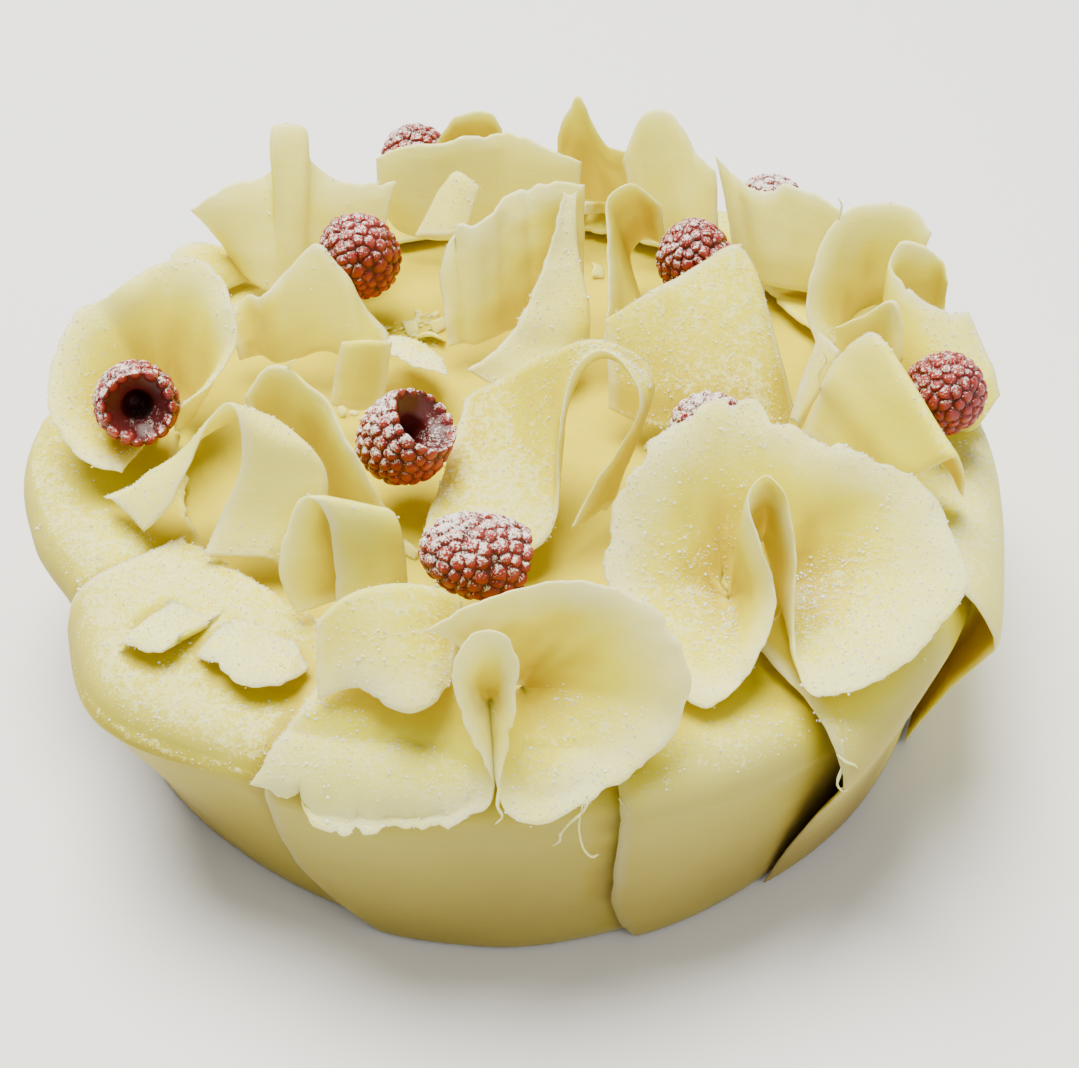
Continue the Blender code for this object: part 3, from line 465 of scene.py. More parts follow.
def collar_points(azimuth, run):
    """Radius, height and outward normal on the collar's mid-surface, for arrays."""
    rim = ring_values(RIM_RADIUS, azimuth)
    foot = ring_values(FOOT_RADIUS, azimuth)
    equator = FOLD_TOP - FOLD_RADIUS
    up_run = np.clip(run, 0.0, 1.0)
    wall_r = foot + (rim - foot) * up_run ** 1.3
    slope = (rim - foot) * 1.3 * np.maximum(up_run, 1e-6) ** 0.3 / equator
    size = np.hypot(1.0, slope)
    angle = np.clip(run - 1.0, 0.0, 1.0) * math.radians(85)
    fold_r = rim - FOLD_RADIUS + FOLD_RADIUS * np.cos(angle)
    fold_z = equator + FOLD_RADIUS * np.sin(angle)
    inward = np.maximum(run - 2.0, 0.0)
    kind = [run <= 1.0, run > 2.0]
    radius = np.select(kind, [wall_r, fold_r - inward], fold_r)
    height = np.select(kind, [equator * run, fold_z + flap_rise(inward)], fold_z)
    out_r = np.select(kind, [1.0 / size, 0.09], np.cos(angle))
    out_z = np.select(kind, [-slope / size, 0.996], np.sin(angle))
    return radius, height, out_r, out_z


def drape(grid):
    """Lift ruffle points so that they stay clear above the wrap."""
    x, y, z = np.moveaxis(grid, 2, 0)
    radius = np.hypot(x, y)
    centre = ring_values(RIM_RADIUS, np.degrees(np.arctan2(y, x))) - FOLD_RADIUS
    inside = radius < centre
    floor = FOLD_TOP + flap_rise(centre - radius) + RUFFLE_LIFT
    gap = z - floor
    soft = 1.2
    raised = floor + soft * np.logaddexp(0.0, gap / soft)
    high = np.where(inside & (gap < 5 * soft), np.maximum(raised, z), z)
    base = FOLD_TOP - FOLD_RADIUS
    out = radius - centre
    up = z - base
    size = np.hypot(out, up)
    need = FOLD_RADIUS + RUFFLE_LIFT
    push = (~inside) & (up > 0) & (size < need)
    scale = np.where(push, need / np.maximum(size, 1e-6), 1.0)
    ratio = np.where(push, (centre + out * scale) / np.maximum(radius, 1e-6), 1.0)
    return np.stack([x * ratio, y * ratio, np.where(push, base + up * scale, high)], 2)


# Sheets

def grid_normals(grid, closed=False):
    along = np.gradient(grid, axis=0)
    if closed:
        along[0] = (grid[1] - grid[-2]) / 2
        along[-1] = along[0]
    normal = np.cross(along, np.gradient(grid, axis=1))
    return normal / (np.linalg.norm(normal, axis=2, keepdims=True) + 1e-12)


def distances(grid):
    """Distance along the surface from the start, the end, the free edge and the root."""
    step_u = np.linalg.norm(np.diff(grid, axis=0), axis=2)
    step_v = np.linalg.norm(np.diff(grid, axis=1), axis=2)
    from_start = np.pad(np.cumsum(step_u, axis=0), ((1, 0), (0, 0)))
    from_end = np.pad(np.cumsum(step_u[::-1], axis=0)[::-1], ((0, 1), (0, 0)))
    from_edge = np.pad(np.cumsum(step_v, axis=1), ((0, 0), (1, 0)))
    return from_start, from_end, from_edge, from_edge[:, -1:] - from_edge


def ragged(grid, edge, start, end, seed, torn=None):
    """Tear the border: slide its points in and out along the surface."""
    from_start, from_end, from_edge, _ = distances(grid)
    cols, rows = grid.shape[:2]
    out = grid.copy()
    reach = 6.0
    line = grid[:, 0]
    harder = np.ones(cols)
    if torn:
        first, last, factor = torn
        place = np.linspace(0, 1, cols)
        inside = smoothstep(first - 0.03, first + 0.03, place)
        harder = 1.0 + (factor - 1.0) * inside * (1 - smoothstep(last - 0.03, last + 0.03, place))
    harder = harder + 1.5 * np.clip(layered_noise(line, 26.0, seed + 5, 2) * 1.6 + 0.1, 0, 1)
    tear = layered_noise(line, 7.0, seed, 4) * edge
    tear += np.minimum(layered_noise(line, 2.6, seed + 9, 2), 0.0) * edge * 1.2
    tear = tear * harder + layered_noise(line, 3.2, seed + 12, 3) * 0.3 * (harder - 1.0)
    fade = np.clip(1 - from_edge / (reach + 0.7 * (harder[:, None] - 1.0)), 0, 1) ** 1.5
    step = unit(line - grid[:, min(3, rows - 1)])
    out += step[:, None, :] * (tear[:, None] * fade)[:, :, None]
    for amount, first, inner, run in ((start, 0, 3, from_start), (end, -1, -4, from_end)):
        tear = layered_noise(grid[first], 6.0, seed + 31 + first, 4) * amount
        step = unit(grid[first] - grid[inner])
        fade = np.clip(1 - run / reach, 0, 1) ** 1.5
        out += step[None, :, :] * (tear[None, :] * fade)[:, :, None]
    return out


def ruffle_surface(name, stations, seed, spacing=SPACING, flare=0.0):
    """Fine mid-surface of a ruffle through its stations; a closed one meets its own start."""
    closed = name in CLOSED
    if closed:
        stations = np.concatenate([stations[-1:], stations, stations[:2]])
    skip = 1 if closed else 0
    fine = np.linspace(skip, len(stations) - 1 - skip, 60 * len(stations))
    curve = catmull(stations, fine)
    path = curve[:, :3] * 0.7 + curve[:, 3:] * 0.3
    steps = np.concatenate([[0], np.cumsum(np.linalg.norm(np.diff(path, axis=0), axis=1))])
    cols = max(24, int(steps[-1] / spacing))
    where = np.interp(np.linspace(0, steps[-1], cols), steps, fine)
    near, far = np.split(catmull(stations, where), 2, axis=1)
    rows = max(10, int(np.linalg.norm(near - far, axis=1).mean() / spacing))
    down = np.linspace(0, 1, rows)[None, :]
    share = down[:, :, None]
    grid = near[:, None, :] * (1 - share) + far[:, None, :] * share
    fall = (1 - flare) * down + flare * (down * down * (3 - 2 * down))
    grid[:, :, 2] = near[:, 2:3] + (far[:, 2:3] - near[:, 2:3]) * fall
    edge_rag, start_rag, end_rag, flutter, sag = STYLE.get(name, PLAIN_STYLE)
    if name in CREASES:
        normal = grid_normals(grid)
        along = np.linspace(0, 1, cols)[:, None, None]
        for place, width, deep in CREASES[name]:
            ridge = deep * np.exp(-((along - place - 0.04 * share) / width) ** 2)
            grid = grid + normal * ridge * (0.45 + 0.55 * (1 - share))
    grid[:, :, 2] -= sag * 4 * down * (1 - down)
    grid = ragged(drape(grid), edge_rag, start_rag, end_rag, seed, TORN.get(name))
    wave = layered_noise(grid, 16.0, seed + 50, 2)
    lip = layered_noise(grid, 6.0, seed + 60, 2)
    bend = 0.35 * wave + flutter * lip * (1 - smoothstep(0.0, 0.45, down))
    grid = grid + grid_normals(grid, closed) * bend[:, :, None]
    if name in FLUSH:
        side = smoothstep(0.62, 1.0, np.abs(np.linspace(0, 1, cols)[:, None] * 2 - 1))
        grid[:, :, 2] -= (ROOT_SINK + 0.4) * np.maximum(smoothstep(0.15, 0.9, down), side * 0.75)
        return grid
    resting = 1 - smoothstep(66.5, 69.5, far[:, 2:3])
    grid[:, :, 2] -= ROOT_SINK * resting * smoothstep(0.72, 1.0, down)
    return grid


def rear_leaf_stations(azimuth, half_width, lip):
    """Edge and root points of a low leaf that lies round the back of the cake."""
    share = np.arange(5) / 2.0 - 1.0
    angle = np.radians(azimuth + half_width * share)
    outer = 98.0 - 5.0 * share * share
    inner = 83.0 + 3.0 * np.cos(2.0 * share)
    lip_height = lip - 4.0 + 4.0 * np.cos(2.4 * share + 0.5)
    return np.stack([outer * np.cos(angle), outer * np.sin(angle), lip_height,
                     inner * np.cos(angle), inner * np.sin(angle), np.full(5, 63.0)], 1)


def panel_surface(name, values, seed):
    """Fine mid-surface of a wrap panel, with slow dents and a torn flap edge."""
    (first, last, off_first, off_last, flap_first, flap_last,
     corner_first, corner_last, scallop) = values
    wall_rows, fold_rows, flap_rows = 43, 15, 26
    rows = wall_rows + fold_rows + flap_rows
    cols = int((last - first) * 1.9 / 1.1)
    t = np.linspace(0, 1, cols)[:, None] * np.ones((1, rows))
    run = np.concatenate([np.linspace(0.0, 1.0, wall_rows + 1)[:-1],
                          np.linspace(1.0, 2.0, fold_rows + 1)[:-1], np.full(flap_rows, 2.0)])
    run = run[None, :] * np.ones((cols, 1))
    height = np.minimum(run, 1.0) * (FOLD_TOP - FOLD_RADIUS)
    low = np.maximum(0.0, 1.0 - height / 20.0)
    start = first + np.degrees(corner_first * low * low / FOOT_RADIUS[0])
    end = last - np.degrees(corner_last * low * low / FOOT_RADIUS[0])
    start = start + scallop * np.sin(math.pi * np.minimum(height / 58.0, 1.0))
    azimuth = start + (end - start) * t
    inner = flap_first + (flap_last - flap_first) * t - 3.0 * np.sin(math.pi * t)
    reach = ring_values(RIM_RADIUS, azimuth) - FOLD_RADIUS + 0.7 - inner
    step = np.concatenate([np.zeros(wall_rows + fold_rows), np.linspace(0, 1, flap_rows)])
    run = run + reach * step[None, :]
    radius, up, out_r, out_z = collar_points(azimuth, run)
    lap = min(off_first, LAP)
    off = lap + (off_last - lap) * (t * t * (3 - 2 * t))
    lifted = (off_first - lap) * (1.0 - t) ** 3 * np.minimum(run, 1.0) ** 1.5
    off = off + lifted / (1.0 + 2.6 * np.clip(run - 1.0, 0.0, 1.0))
    ridge_at, ridge_high = RIDGES.get(name, (1.5, 0.0))
    ridge = np.exp(-((run - ridge_at - 0.18 * (t - 0.5)) / 0.07) ** 2)
    off = off + ridge_high * ridge * np.sin(math.pi * np.clip(1.15 * t, 0, 1)) ** 0.6
    angle = np.radians(azimuth)
    plain = np.stack([radius * np.cos(angle), radius * np.sin(angle), up], 2)
    off = off + 0.7 * layered_noise(plain, 26.0, 5, 2) + 0.12 * layered_noise(plain, 7.0, 7, 2)
    radius = radius + out_r * off
    up = up + out_z * off
    up[:, 0] = PANEL_FOOT
    grid = np.stack([radius * np.cos(angle), radius * np.sin(angle), up], 2)
    return ragged(grid[:, ::-1], 1.3, 0.5, 0.3, seed)[:, ::-1]


def thickness_map(grid, full, closed=False):
    """Thickness, thinning to the border, and the distance that sets the painted highlight along the rim.
    """
    from_start, from_end, edge, from_root = distances(grid)
    if not closed:
        edge = np.minimum(edge, np.minimum(from_start, from_end))
    thin = full * (0.42 + 0.58 * smoothstep(0.0, 4.0, edge))
    last = np.minimum(edge, from_root)
    return thin * (0.35 + 0.65 * smoothstep(0.0, 0.5, last)), np.minimum(edge, from_root + 1.5)


def quad_grid(cols, rows, closed=False):
    """Faces of a grid of points; a closed one joins its last column to its first."""
    spans = cols if closed else cols - 1
    i, j = np.meshgrid(np.arange(spans), np.arange(rows - 1), indexing="ij")
    a = (i * rows + j).ravel()
    b = ((i + 1) % cols * rows + j).ravel()
    return np.stack([a, b, b + 1, a + 1], 1)


def shell(grid, thick, closed=False):
    """Closed shell of a mid-surface; a closed sheet becomes a ring without end walls."""
    reach = grid_normals(grid, closed) * (thick / 2)[:, :, None]
    keep = slice(0, -1 if closed else None)
    sides = np.stack([(grid + reach)[keep], (grid - reach)[keep]])
    cols, rows = sides.shape[1:3]
    half = cols * rows
    index = np.arange(half).reshape(cols, rows)
    if closed:
        rims = [index[:, 0], index[::-1, -1]]
    else:
        rims = [np.concatenate([index[:, 0], index[-1, 1:], index[-2::-1, -1], index[0, -2:0:-1]])]
    upper = quad_grid(cols, rows, closed)
    faces = [upper, half + upper[:, [0, 3, 2, 1]]]
    for rim in rims:
        after = np.roll(rim, -1)
        faces.append(np.stack([after, rim, half + rim, half + after], 1))
    return sides.reshape(-1, 3), np.concatenate(faces)


# Meshes and pieces

def mesh_from(name, verts_mm, *parts):
    """Mesh from points in mm and arrays of faces."""
    mesh = bpy.data.meshes.new(name)
    polygons = [face for part in parts for face in part.tolist()]
    mesh.from_pydata((np.asarray(verts_mm) * MM).tolist(), [], polygons)
    mesh.update()
    return mesh


def solid_mesh(name, verts_mm, *parts):
    """Closed mesh, turned outward."""
    mesh = mesh_from(name, verts_mm, *parts)
    bm = bmesh.new()
    bm.from_mesh(mesh)
    if bm.calc_volume(signed=True) < 0:
        bmesh.ops.reverse_faces(bm, faces=bm.faces)
    bm.to_mesh(mesh)
    bm.free()
    return mesh


def round_faces(around, deep):
    """Faces of a grid closed round its first axis, with a tip point at either end."""
    index = np.arange(around * deep).reshape(around, deep)
    parts = [quad_grid(around, deep, True)]
    for ring, tip in ((index[::-1, 0], around * deep), (index[:, -1], around * deep + 1)):
        parts.append(np.stack([ring, np.roll(ring, -1), np.full(around, tip)], 1))
    return parts


def set_values(mesh, **fields):
    """Store values on a mesh's points, by name: an array or one value for all."""
    for name, values in fields.items():
        layer = mesh.attributes.new(name, "FLOAT", "POINT")
        layer.data.foreach_set("value", np.float32(values) + np.zeros(len(mesh.vertices), np.float32))


def point_data(mesh, kind):
    values = np.zeros(len(mesh.vertices) * 3, np.float32)
    mesh.vertices.foreach_get(kind, values)
    return values.reshape(-1, 3)


def add_object(name, data):
    item = bpy.data.objects.new(name, data)
    bpy.context.scene.collection.objects.link(item)
    return item


def finish_piece(name, mesh, material, node, smooth=True):
    piece = add_object(name, mesh)
    if smooth:
        mesh.shade_smooth()
    mesh.materials.append(material)
    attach(piece, "root")
    if node:
        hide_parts(node)
    return piece


# Materials

class Graph:
    """Node graph of one material."""

    def __init__(self, name):
        self.material = bpy.data.materials.new(name)
        self.material.use_nodes = True
        self.tree = self.material.node_tree
        self.tree.nodes.clear()

    def node(self, kind, inputs, **settings):
        """Add a node; each input is a value to set or a socket to link."""
        node = self.tree.nodes.new("ShaderNode" + kind)
        for key, value in settings.items():
            setattr(node, key, value)
        for key, value in inputs.items():
            if isinstance(value, bpy.types.NodeSocket):
                self.tree.links.new(value, node.inputs[key])
            else:
                node.inputs[key].default_value = value
        return node

    def attribute(self, name):
        return self.node("Attribute", {}, attribute_name=name).outputs["Fac"]

    def noise(self, scale, detail, roughness, stretch=(1.0, 1.0, 1.0)):
        vector = self.node("TexCoord", {}).outputs["Object"]
        if stretch != (1.0, 1.0, 1.0):
            vector = self.node("Mapping", {"Vector": vector, "Scale": stretch}).outputs["Vector"]
        inputs = {"Vector": vector, "Scale": scale, "Detail": detail, "Roughness": roughness}
        return self.node("TexNoise", inputs).outputs["Fac"]

    def maths(self, operation, first, second, clamp=False):
        return self.node("Math", {0: first, 1: second}, operation=operation, use_clamp=clamp).outputs[0]

    def scaled(self, source, middle, factor, clamp=False):
        """The source less a middle value, times a factor."""
        return self.maths("MULTIPLY", self.maths("SUBTRACT", source, middle), factor, clamp)

    def ramp(self, source, *stops):
        node = self.node("ValToRGB", {"Fac": source})
        elements = node.color_ramp.elements
        while len(elements) < len(stops):
            elements.new(0.5)
        for element, (place, *colour) in zip(elements, stops):
            element.position = place
            element.color = (*colour, 1.0)
        return node.outputs["Color"]

    def mix(self, factor, first, second, blend="MIX"):
        """Mix of two colours; the second is a socket or three numbers."""
        if isinstance(second, tuple):
            second = (*second, 1.0)
        inputs = {0: factor, 6: first, 7: second}
        return self.node("Mix", inputs, data_type="RGBA", blend_type=blend).outputs[2]

    def cover(self, dust, layers, middle, factor, settle):
        """Speckled cover of sugar: dust broken up by noise, and none where no dust lies."""
        total = dust
        for noise, height in layers:
            total = self.maths("ADD", total, self.scaled(noise, 0.5, height))
        settled = self.maths("MULTIPLY", dust, settle, clamp=True)
        return self.maths("MULTIPLY", self.scaled(total, middle, factor, clamp=True), settled)

    def finish(self, colour, rough, inputs, height=None, depth=0.0):
        """Close the graph with its shader, and a bump where a height is given."""
        inputs = {"Base Color": colour, "Roughness": rough, **inputs}
        if height:
            bump = self.node("Bump", {"Strength": 0.5, "Distance": depth, "Height": height})
            inputs["Normal"] = bump.outputs["Normal"]
        shader = self.node("BsdfPrincipled", inputs)
        self.node("OutputMaterial", {"Surface": shader.outputs[0]})
        return self.material


def chocolate_material():
    """White chocolate: ivory on open faces, golden painted shade in the folds, darker painted shade on the
    wrap's side, a painted highlight along the edges, sugar where it can settle.
    """
    graph = Graph("white_chocolate")
    dust = graph.attribute("dust")
    # Noise breaks up the painted highlight along the edges
    rim_highlight_break = graph.scaled(graph.noise(75.0, 2.0, 0.6), 0.22, 1.9)
    rim = graph.maths("MULTIPLY", graph.attribute("rim"), rim_highlight_break, clamp=True)
    # Painted shade from the openness: closed places in the folds turn darker and golden, open faces stay
    # ivory
    colour = graph.ramp(graph.attribute("open"), (0.12, 0.78, 0.64, 0.030), (0.36, 0.58, 0.465, 0.002),
                        (0.60, 0.69, 0.585, 0.003), (0.80, 0.88, 0.785, 0.035), (0.96, 0.95, 0.885, 0.20))
    fat = graph.ramp(graph.noise(45.0, 2.0, 0.6), (0.35, 0.97, 0.955, 0.90), (0.65, 1.0, 1.0, 1.0))
    colour = graph.mix(1.0, colour, fat, "MULTIPLY")
    streak = graph.noise(90.0, 1.0, 0.5, stretch=(1.0, 1.0, 6.0))
    streak = graph.ramp(streak, (0.4, 0.985, 0.98, 0.95), (0.6, 1.0, 1.0, 1.0))
    colour = graph.mix(1.0, colour, streak, "MULTIPLY")
    # Painted highlight along the thin edges and the free edge's band
    colour = graph.mix(rim, colour, (0.94, 0.90, 0.48))
    # Painted shade on the wrap's side, darker lower down
    colour = graph.mix(graph.attribute("shade"), colour, (0.20, 0.139, 0.040))
    grain = graph.noise(1150.0, 2.0, 0.75)
    layers = ((graph.noise(120.0, 3.0, 0.65), 0.9), (grain, 2.6), (graph.noise(420.0, 2.0, 0.7), 2.2))
    cover = graph.maths("MULTIPLY", graph.cover(dust, layers, 0.45, 1.8, 7.0), 0.75)
    colour = graph.mix(cover, colour, (0.95, 0.893, 0.37))
    rough = graph.maths("ADD", graph.maths("MULTIPLY", cover, 0.35), 0.48)
    scrape = graph.maths("MULTIPLY", graph.noise(260.0, 2.0, 0.6, stretch=(1.0, 1.0, 3.0)), 0.25)
    dusty = graph.maths("MULTIPLY", graph.maths("MULTIPLY", grain, dust), 0.8)
    inputs = {"Subsurface Weight": 0.6, "Subsurface Radius": (1.0, 0.85, 0.25),
              "Subsurface Scale": 0.005, "Specular IOR Level": 0.12}
    return graph.finish(colour, rough, inputs, graph.maths("ADD", scrape, dusty), 0.0007)


def berry_material():
    """Raspberry skin: translucent red drupelets, painted shade dark in the pits and the hollow, sugar on
    top.
    """
    graph = Graph("berry_skin")
    # Painted shade: the skin darkens from the drupelets' tops into the pits between them and into the
    # hollow
    skin = graph.ramp(graph.attribute("bulge"), (0.0, 0.085, 0.006, 0.006), (0.35, 0.17, 0.011, 0.010),
                      (0.75, 0.28, 0.020, 0.017), (1.0, 0.37, 0.040, 0.032))
    tone = graph.ramp(graph.noise(160.0, 3.0, 0.6), (0.35, 0.75, 0.7, 0.7), (0.65, 1.0, 1.0, 1.0))
    skin = graph.mix(1.0, skin, tone, "MULTIPLY")
    grain = graph.noise(1900.0, 2.0, 0.8)
    layers = ((grain, 4.2), (graph.noise(520.0, 3.0, 0.7), 2.6))
    cover = graph.cover(graph.attribute("dust"), layers, 0.42, 3.0, 4.0)
    colour = graph.mix(cover, skin, (0.86, 0.78, 0.74))
    rough = graph.maths("ADD", graph.maths("MULTIPLY", cover, 0.45), 0.38)
    inputs = {"Subsurface Weight": 0.25, "Subsurface Radius": (1.0, 0.2, 0.15),
              "Subsurface Scale": 0.002, "Specular IOR Level": 0.3}
    return graph.finish(colour, rough, inputs, graph.maths("MULTIPLY", grain, cover), 0.0005)


def sugar_material():
    graph = Graph("icing_sugar")
    colour = graph.ramp(graph.noise(500.0, 2.0, 0.5), (0.3, 0.84, 0.82, 0.72), (0.7, 0.93, 0.93, 0.90))
    return graph.finish(colour, 0.7, {"Subsurface Weight": 0.3, "Subsurface Scale": 0.001})


# How much sky each place sees

def sphere_directions(count):
    k = np.arange(count) + 0.5
    z = 1 - 2 * k / count
    turn = k * math.pi * (3 - math.sqrt(5))
    ring = np.sqrt(1 - z * z)
    return np.stack([ring * np.cos(turn), ring * np.sin(turn), z], 1)


RAYS = sphere_directions(96)


def thin_out(shape, step_u, step_v):
    """Every few columns and rows of a grid, its last ones too, as an index."""
    picks = [np.unique(np.append(np.arange(0, size, step), size - 1))
             for size, step in zip(shape, (step_u, step_v))]
    return np.ix_(*picks)


def openness(tree, points, normals):
    """Share of the hemisphere that is free, and share of the sky that is seen."""
    shares = np.zeros((2, len(points)))
    for n, (point, normal) in enumerate(zip(points, normals)):
        facing = RAYS @ normal
        chosen = np.nonzero(facing > 0.12)[0][n % 2::2]
        start = Vector(point + normal)
        reached = [tree.ray_cast(start, Vector(ray), RAY_REACH)[3] for ray in RAYS[chosen]]
        clear = np.array([length is None for length in reached], bool)
        near = np.array([0.0 if length is None else 1.0 - 0.75 * length / RAY_REACH for length in reached])
        weight = facing[chosen]
        total = max(weight.sum(), 1e-6)
        rise = RAYS[chosen, 2]
        above = (weight * (clear & (rise > 0))).sum()
        shares[0, n] = 0.8 * (1.0 - (weight * near).sum() / total) + 0.2 * above / total
        up = rise * (rise > 0.25)
        shares[1, n] = (up * clear).sum() / max(up.sum(), 1e-6)
    return shares


def seen_fields(tree, grid, normal, step_u, step_v, passes):
    """Openness and share of sky over a whole grid, by rays from some of its points."""
    pick = thin_out(grid.shape, step_u, step_v)
    u, v = pick[0].ravel(), pick[1].ravel()
    fields = []
    for values in openness(tree, grid[pick].reshape(-1, 3), normal[pick].reshape(-1, 3)):
        wide = np.array([np.interp(np.arange(grid.shape[1]), v, line)
                         for line in values.reshape(len(u), len(v))])
        field = np.array([np.interp(np.arange(grid.shape[0]), u, line) for line in wide.T]).T
        for _ in range(passes):
            padded = np.pad(field, 1, mode="edge")
            around = padded[:-2, 1:-1] + padded[2:, 1:-1] + padded[1:-1, :-2] + padded[1:-1, 2:]
            field = (around + 2 * field) / 6
        fields.append(field)
    return fields


def wall_shade(points):
    """Painted shade on the wrap's side: darker than its top, most of all at the front, least on the right.
    """
    radius = np.hypot(points[:, 0], points[:, 1])
    below = 0.76 * (1.0 - smoothstep(46.0, 64.0, points[:, 2]))
    foot = 0.24 * (1.0 - smoothstep(4.0, 46.0, points[:, 2]))
    cloud = 0.5 + 0.5 * layered_noise(points, 34.0, 610, 2)
    right = smoothstep(0.72, 0.95, points[:, 0] / np.maximum(radius, 1.0))
    return smoothstep(94.0, 99.0, radius) * (below + foot) * (0.8 + 0.2 * cloud) * (1.0 - 0.75 * right)


def sheet_piece(name, grid, full, material, tree):
    """One chocolate sheet, and how much sugar lies at each of its points."""
    closed = name in CLOSED
    keep = slice(0, -1 if closed else None)
    thick, edge = thickness_map(grid, full, closed)
    verts, faces = shell(grid, thick, closed)
    normal = grid_normals(grid, closed)
    # Painted light and shade of the whole sheet, shifted per sheet
    tone = SHEET_LIGHT_SHIFT.get(name, 0.0)
    # Painted shade deepens from the free edge toward the root
    if name not in PANELS:
        share = np.linspace(0, 1, grid.shape[1])[None, :]
        tone = tone + ROOT_SHADE_FALL.get(name, PLAIN_ROOT_SHADE_FALL) * (0.3 - share)
    free_sides = []
    dust_sides = []
    # The openness of each side sets its painted shade; its sky and upward facing set its sugar
    for side in (1.0, -1.0):
        free, sky = seen_fields(tree, grid, side * normal, *SHEET_STEPS, 3)
        level = smoothstep(0.45, 1.0, np.clip(side * normal[:, :, 2], 0.0, 1.0))
        free_sides.append((free + tone)[keep])
        dust_sides.append((SUGARED.get(name, 0.5) * level * smoothstep(0.45, 0.95, sky))[keep])
    # A painted highlight along the thin edges, widened by a band of painted light along the free edge
    edge_light_band = EDGE_LIGHT_BAND.get(name, 0.0) * (1.0 - smoothstep(1.0, 10.0, distances(grid)[2]))
    rim = np.maximum(1.0 - smoothstep(0.2, 3.2, edge), edge_light_band)[keep]
    dust = np.ravel(dust_sides)
    mesh = solid_mesh("look_" + name, verts, faces)
    set_values(mesh, open=np.ravel(free_sides), dust=dust, rim=np.tile(rim.ravel(), 2))
    # Painted shade on the wrap's side
    if name in PANELS:
        set_values(mesh, shade=wall_shade(verts))
    return finish_piece("look_" + name, mesh, material, name), dust


def core_piece(material, tree):
    """The cake under the ruffles: a gently lumpy top inside the wrap."""
    azimuth = np.arange(CORE_AROUND)[:, None] * 360.0 / CORE_AROUND
    run = np.linspace(0.0, 2.0, CORE_SIDE_ROWS)[None, :]
    radius, height, out_r, out_z = collar_points(*np.broadcast_arrays(azimuth, run))
    radius = radius - out_r * CORE_INSET
    height = height - out_z * CORE_INSET
    height[:, 0] = 0.0
    inward = radius[:, -1:] * np.linspace(0.0, 1.0, CORE_TOP_ROWS)[1:-1]
    height = np.concatenate([height, height[:, -1:] + flap_rise(inward)], 1)
    radius = np.concatenate([radius, radius[:, -1:] - inward], 1)
    angle = np.radians(azimuth)
    grid = np.stack([radius * np.cos(angle), radius * np.sin(angle), height], 2)
    around, deep = height.shape
    level = smoothstep(0, 6, np.arange(deep) - CORE_SIDE_ROWS)[None, :]
    lumps = 0.9 * layered_noise(grid, 19.0, 400, 3) + 0.25 * layered_noise(grid, 4.0, 410, 2)
    grid[:, :, 2] += lumps * level
    wrapped = np.concatenate([grid, grid[:1]])
    free, sky = seen_fields(tree, wrapped, -grid_normals(wrapped), *CORE_STEPS, 6)
    dust = (0.9 * smoothstep(0.15, 0.7, sky) * level)[:-1].ravel()
    verts = np.concatenate([grid.reshape(-1, 3), [[0, 0, 0]], [[0, 0, grid[:, -1, 2].mean()]]])
    mesh = solid_mesh("look_cake_core", verts, *round_faces(around, deep))
    # The core's openness, scaled down, paints golden shade on it
    set_values(mesh, open=np.append(free[:-1].ravel() * 0.7, [0.0, 0.5]),
               dust=np.append(dust, [0.0, 0.5]), rim=0.0)
    piece = finish_piece("look_cake_core", mesh, material, "cake_core")
    return piece, 0.7 * np.append(dust, [0.0, 0.0])


# Berries

def berry_outline(share, half_width, half_length):
    """Radius and height of a berry's skin, from the tip (0) to the lip (1)."""
    angle = share * math.radians(128)
    return np.sin(angle) ** 0.82 * half_width, (0.19 - np.cos(angle)) * half_length


def drupelet_centres(half_width, half_length):
    """Drupelets in staggered rings, as many in each as its girth holds."""
    radius, height = berry_outline(np.linspace(0.0, 1.0, 400), half_width, half_length)
    steps = np.concatenate([[0], np.cumsum(np.hypot(np.diff(radius), np.diff(height)))])
    rings = max(5, int(round(steps[-1] / (DRUPELET * 0.9))))
    centres = []
    for r in range(rings):
        place = steps[-1] * (r + 0.15) / (rings - 0.6)
        ring_radius = np.interp(place, steps, radius)
        ring_height = np.interp(place, steps, height)
        count = max(1, int(round(2 * math.pi * ring_radius / DRUPELET)))
        for k in range(count):
            angle = 2 * math.pi * (k + 0.5 * (r % 2)) / count
            centres.append((ring_radius * math.cos(angle), ring_radius * math.sin(angle), ring_height))
    return np.array(centres)


